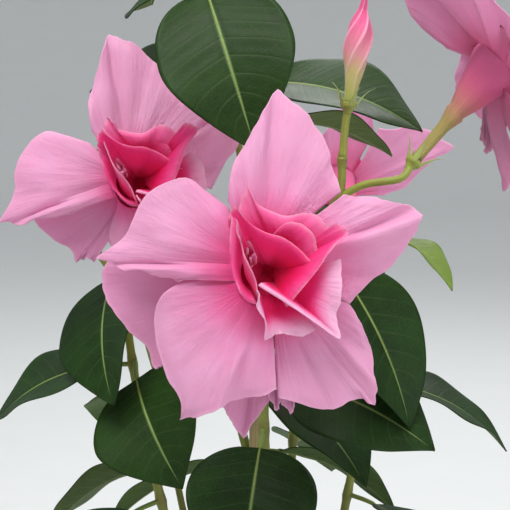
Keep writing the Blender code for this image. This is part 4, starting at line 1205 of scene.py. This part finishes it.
def make_leaf(node, stem, height, bearing, reach, drop, width, young):
    """One leaf: a petiole that runs on as the midrib, and a blade with a fold, waves and a drawn-out tip."""
    root, along, radius = STEMS[stem].at_height(height)
    away = Vector((math.cos(math.radians(bearing)), math.sin(math.radians(bearing)), 0.0))
    tip = root + away * reach - UP * drop
    out = tip - root
    out -= along * out.dot(along)
    out.normalize()
    slant = abs((tip - root).normalized().dot(along))
    base = root + out * (radius + GAP + LEAF_THICKNESS / 2 * slant)
    chord = tip - base
    ahead = chord.normalized()
    middle = base.lerp(tip, 0.5)
    open_side = Vector((middle.x, middle.y, 0.0)).normalized() + UP * 0.75
    face = (open_side - ahead * open_side.dot(ahead)).normalized()
    across = ahead.cross(face)
    petiole = PETIOLE / chord.length
    seed = Vector((height * 0.31, bearing * 0.17, reach * 0.7))
    age = random.Random(round(height * 7 + bearing)).random()
    materials = (YOUNG_LEAF if young else LEAF) + [PETIOLE_GREEN]
    piece = Piece(("ring", "pale", "age"))

    def spine(share):
        return base + chord * share + face * (LEAF_ARCH * 4.0 * share * (1.0 - share))

    def shape(u, v):
        side = 2.0 * u - 1.0
        aside = abs(side)
        half = max(blade_half_width(v) * width / 2, 0.12)
        lift = LEAF_FOLD * half * (math.sqrt(side * side + 0.012) - 0.11)
        lift += 0.9 * noise.noise(Vector((side * 0.9, v * 3.2, 0.0)) + seed) * aside**1.5
        order = (v - aside * VEIN_SWEEP - side * side * VEIN_BEND) * SIDE_VEINS
        strength = min(1.0, aside * 4) * (1.0 - aside**3) * min(1.0, half / 8)
        lift += 0.12 * math.cos(2 * math.pi * order) * strength
        lift += 0.8 * math.sin(v * 11.0 + seed.x) * aside**3 * min(1.0, half / 12)
        lift -= 0.35 * bump_at(side, 0.0, 0.05)
        return spine(petiole + (1.0 - petiole) * v) + across * (half * side) + face * lift, {"age": age}

    piece.grid(28, 44, shape)
    piece.bm.normal_update()
    if sum(f.normal.dot(face) for f in piece.bm.faces) < 0.0:
        bmesh.ops.reverse_faces(piece.bm, faces=piece.bm.faces)
    piece.thicken(BLADE_THICKNESS, materials)
    knots = [base - out * 1.2] + [spine(s / 10) - face * (0.25 if s > 1 else 0.0) for s in range(10)]

    def rib_size(share, distance):
        if distance > PETIOLE + 2.0:
            size = MIDRIB_RADIUS * (1.0 - share * 0.75)
        else:
            size = PETIOLE_RADIUS * (1.0 - smooth(0.0, 1.0, share) * 0.75)
        return size, size * 0.9

    piece.rod(Line(knots, step=1.6), rib_size, 10, across, slot=2)
    piece.standing_for(node, node.replace("leaf", "blade"), materials)


def make_leaves():
    numbers = {}
    for stem, height, bearing, reach, drop, width in LEAVES:
        numbers[stem] = numbers.get(stem, 0) + 1
        node = "leaf_%s_%d" % (stem, numbers[stem])
        make_leaf(node, stem, height, bearing, reach, drop, width, (stem, height) in YOUNG_LEAVES)


# Pot, soil and cane


def make_pot():
    rim, foot, top, edge = POT_RIM_RADIUS, POT_FOOT_RADIUS, POT_HEIGHT, 1.5
    under_collar = top - POT_COLLAR_HEIGHT
    collar_foot = rim - 1.0
    inner_top, inner_foot = rim - POT_WALL - 1.0, foot - POT_WALL
    profile = [
        (0.0, POT_FLOOR),
        (inner_foot - 4.0, POT_FLOOR),
        (inner_foot, POT_FLOOR + 4.0),
        (inner_top, top - edge),
        (inner_top + edge, top),
        (rim - edge, top),
        (rim, top - edge),
        (collar_foot, under_collar + edge),
        (collar_foot - edge, under_collar),
        (collar_foot - edge - POT_COLLAR_STEP, under_collar - edge),
        (foot, edge),
        (foot - edge, 0.0),
        (0.0, 0.0),
    ]
    piece = Piece()
    spin_round(piece.bm, profile, 96)
    piece.round_edges(0.8)
    piece.standing_for("pot", "clay_pot", [CLAY])


def soil_height(x, y):
    """The height of the lumpy soil at a point, by the frame's own lumps and finer ones."""
    at = Vector((x, y, SOIL_LEVEL))
    lump = noise.noise(at / 11.0) + 0.5 * noise.noise(at / 5.0)
    grain = 0.5 * noise.noise(at / 2.2) + 0.35 * abs(noise.noise(at / 1.2))
    return SOIL_LEVEL + SOIL_LUMP * lump + grain


def make_soil():
    inner_top, inner_foot = POT_RIM_RADIUS - POT_WALL - 1.0, POT_FOOT_RADIUS - POT_WALL
    share = (SOIL_LEVEL - POT_FLOOR - 4.0) / (POT_HEIGHT - 1.5 - POT_FLOOR - 4.0)
    edge = inner_foot + (inner_top - inner_foot) * share - 0.5
    piece = Piece(("shade",))
    rings = [(edge * i / 44, SOIL_LEVEL) for i in range(45)]
    under = [(inner_foot + 1.0, POT_FLOOR + 6.0), (inner_foot - 6.0, POT_FLOOR + 0.3), (0.0, POT_FLOOR + 0.3)]
    spin_round(piece.bm, rings + under, 132)
    for vertex in piece.bm.verts:
        if vertex.co.z > SOIL_LEVEL - 0.5:
            reach = math.hypot(vertex.co.x, vertex.co.y)
            vertex.co.z = soil_height(vertex.co.x, vertex.co.y) - 1.6 * smooth(edge - 5.0, edge, reach)
        vertex[piece.layers["shade"]] = 0.5 + 0.3 * noise.noise(vertex.co / 3.0)
    rng = random.Random(11)
    for number in range(SOIL_CRUMBS):
        reach, angle = (edge - 3.0) * math.sqrt(rng.random()), rng.uniform(0.0, 2 * math.pi)
        x, y = reach * math.cos(angle), reach * math.sin(angle)
        size = rng.uniform(0.5, 1.9) if number > COARSE_CRUMBS else rng.uniform(1.6, 2.8)
        turn = Matrix.Rotation(rng.uniform(0.0, 6.28), 4, Vector((rng.random(), rng.random(), 0.3)))
        shape = Matrix.Diagonal((size, size * rng.uniform(0.6, 1.0), size * rng.uniform(0.5, 0.8), 1.0))
        place = Matrix.Translation((x, y, soil_height(x, y) + size * 0.15)) @ turn @ shape
        made = bmesh.ops.create_icosphere(piece.bm, subdivisions=1, radius=1.0, matrix=place)["verts"]
        shade = rng.uniform(0.15, 1.0)
        for vertex in made:
            vertex.co += Vector([rng.uniform(-0.2, 0.2) for _ in range(3)]) * size
            vertex[piece.layers["shade"]] = shade
        for face in {face for vertex in made for face in vertex.link_faces}:
            face.material_index = 0 if number % CRUMBS_PER_GRIT else 1
    piece.standing_for("soil", "potting_soil", [PEAT, PERLITE])


def make_cane():
    joints = (118.0, 196.0, 271.0)
    piece = Piece(("ring",))
    profile = [(0.0, CANE_TOP - 3.0), (1.15, CANE_TOP - 2.6), (1.3, CANE_TOP)]
    for i in reversed(range(177)):
        height = PLANTED_TO + (CANE_TOP - PLANTED_TO) * i / 176
        above = [0.35 * bump_at(height, joint + 1.0, 0.9) for joint in joints]
        below = [0.28 * bump_at(height, joint - 1.2, 0.8) for joint in joints]
        ridge = max(ring - groove for ring, groove in zip(above, below))
        profile.append((CANE_RADIUS - 0.35 + ridge + 0.12 * math.sin(height / 37.0), height))
    profile.append((0.0, PLANTED_TO))
    spin_round(piece.bm, profile, 28, CANE_AT)
    for vertex in piece.bm.verts:
        vertex[piece.layers["ring"]] = max(bump_at(vertex.co.z, joint - 0.6, 1.3) for joint in joints)
    piece.standing_for("cane", "bamboo_cane", [BAMBOO])


# Floor, light and camera


def make_floor():
    """A wide pale floor that curves up all round, far from the plant."""
    profile = [(0.0, 0.0), (FLOOR_FLAT / 2, 0.0), (FLOOR_FLAT, 0.0)]
    for i in range(1, 13):
        angle = math.pi / 2 * i / 12
        reach = FLOOR_FLAT + FLOOR_CURVE * math.sin(angle)
        profile.append((reach, FLOOR_CURVE - FLOOR_CURVE * math.cos(angle)))
    profile.append((FLOOR_FLAT + FLOOR_CURVE, FLOOR_TOP))
    bm = bmesh.new()
    spin_round(bm, profile, 96)
    middle = min(bm.faces, key=lambda face: face.calc_center_median().length)
    if middle.normal.z < 0.0:
        bmesh.ops.reverse_faces(bm, faces=bm.faces)
    floor = in_scene("floor", mesh_of(bm, "floor", [floor_finish()]))


def look_at(thing, at, towards):
    thing.location = at
    thing.rotation_euler = (Vector(towards) - Vector(at)).to_track_quat("-Z", "Y").to_euler()


def light_the_room():
    scene = bpy.context.scene
    scene.world = bpy.data.worlds.new("pale_room")
    scene.world.use_nodes = True
    background = scene.world.node_tree.nodes["Background"]
    background.inputs["Color"].default_value = ROOM_COLOUR
    background.inputs["Strength"].default_value = ROOM_STRENGTH
    scene.view_settings.view_transform = "Standard"
    for name, (at, towards, size, power, colour) in SOFT_LIGHTS.items():
        light = bpy.data.lights.new(name, "AREA")
        light.shape = "DISK"
        light.size, light.energy, light.color = size, power, colour
        look_at(in_scene(name, light), at, towards)


def make_camera():
    camera = bpy.data.cameras.new("camera")
    camera.lens, camera.sensor_width, camera.clip_start = LENS, FILM, 0.01
    eye = in_scene("camera", camera)
    look_at(eye, EYE, LOOKS_AT)
    bpy.context.scene.camera = eye


make_pot()
make_soil()
make_cane()
for stem in STEMS:
    make_shoot(stem)
make_leaves()
for bloom in BLOOMS:
    make_flower(bloom)
for node, _, _, _, foot, direction, size in BUDS:
    make_bud(node, foot, direction, size)
make_floor()
light_the_room()
make_camera()

bpy.context.view_layer.update()
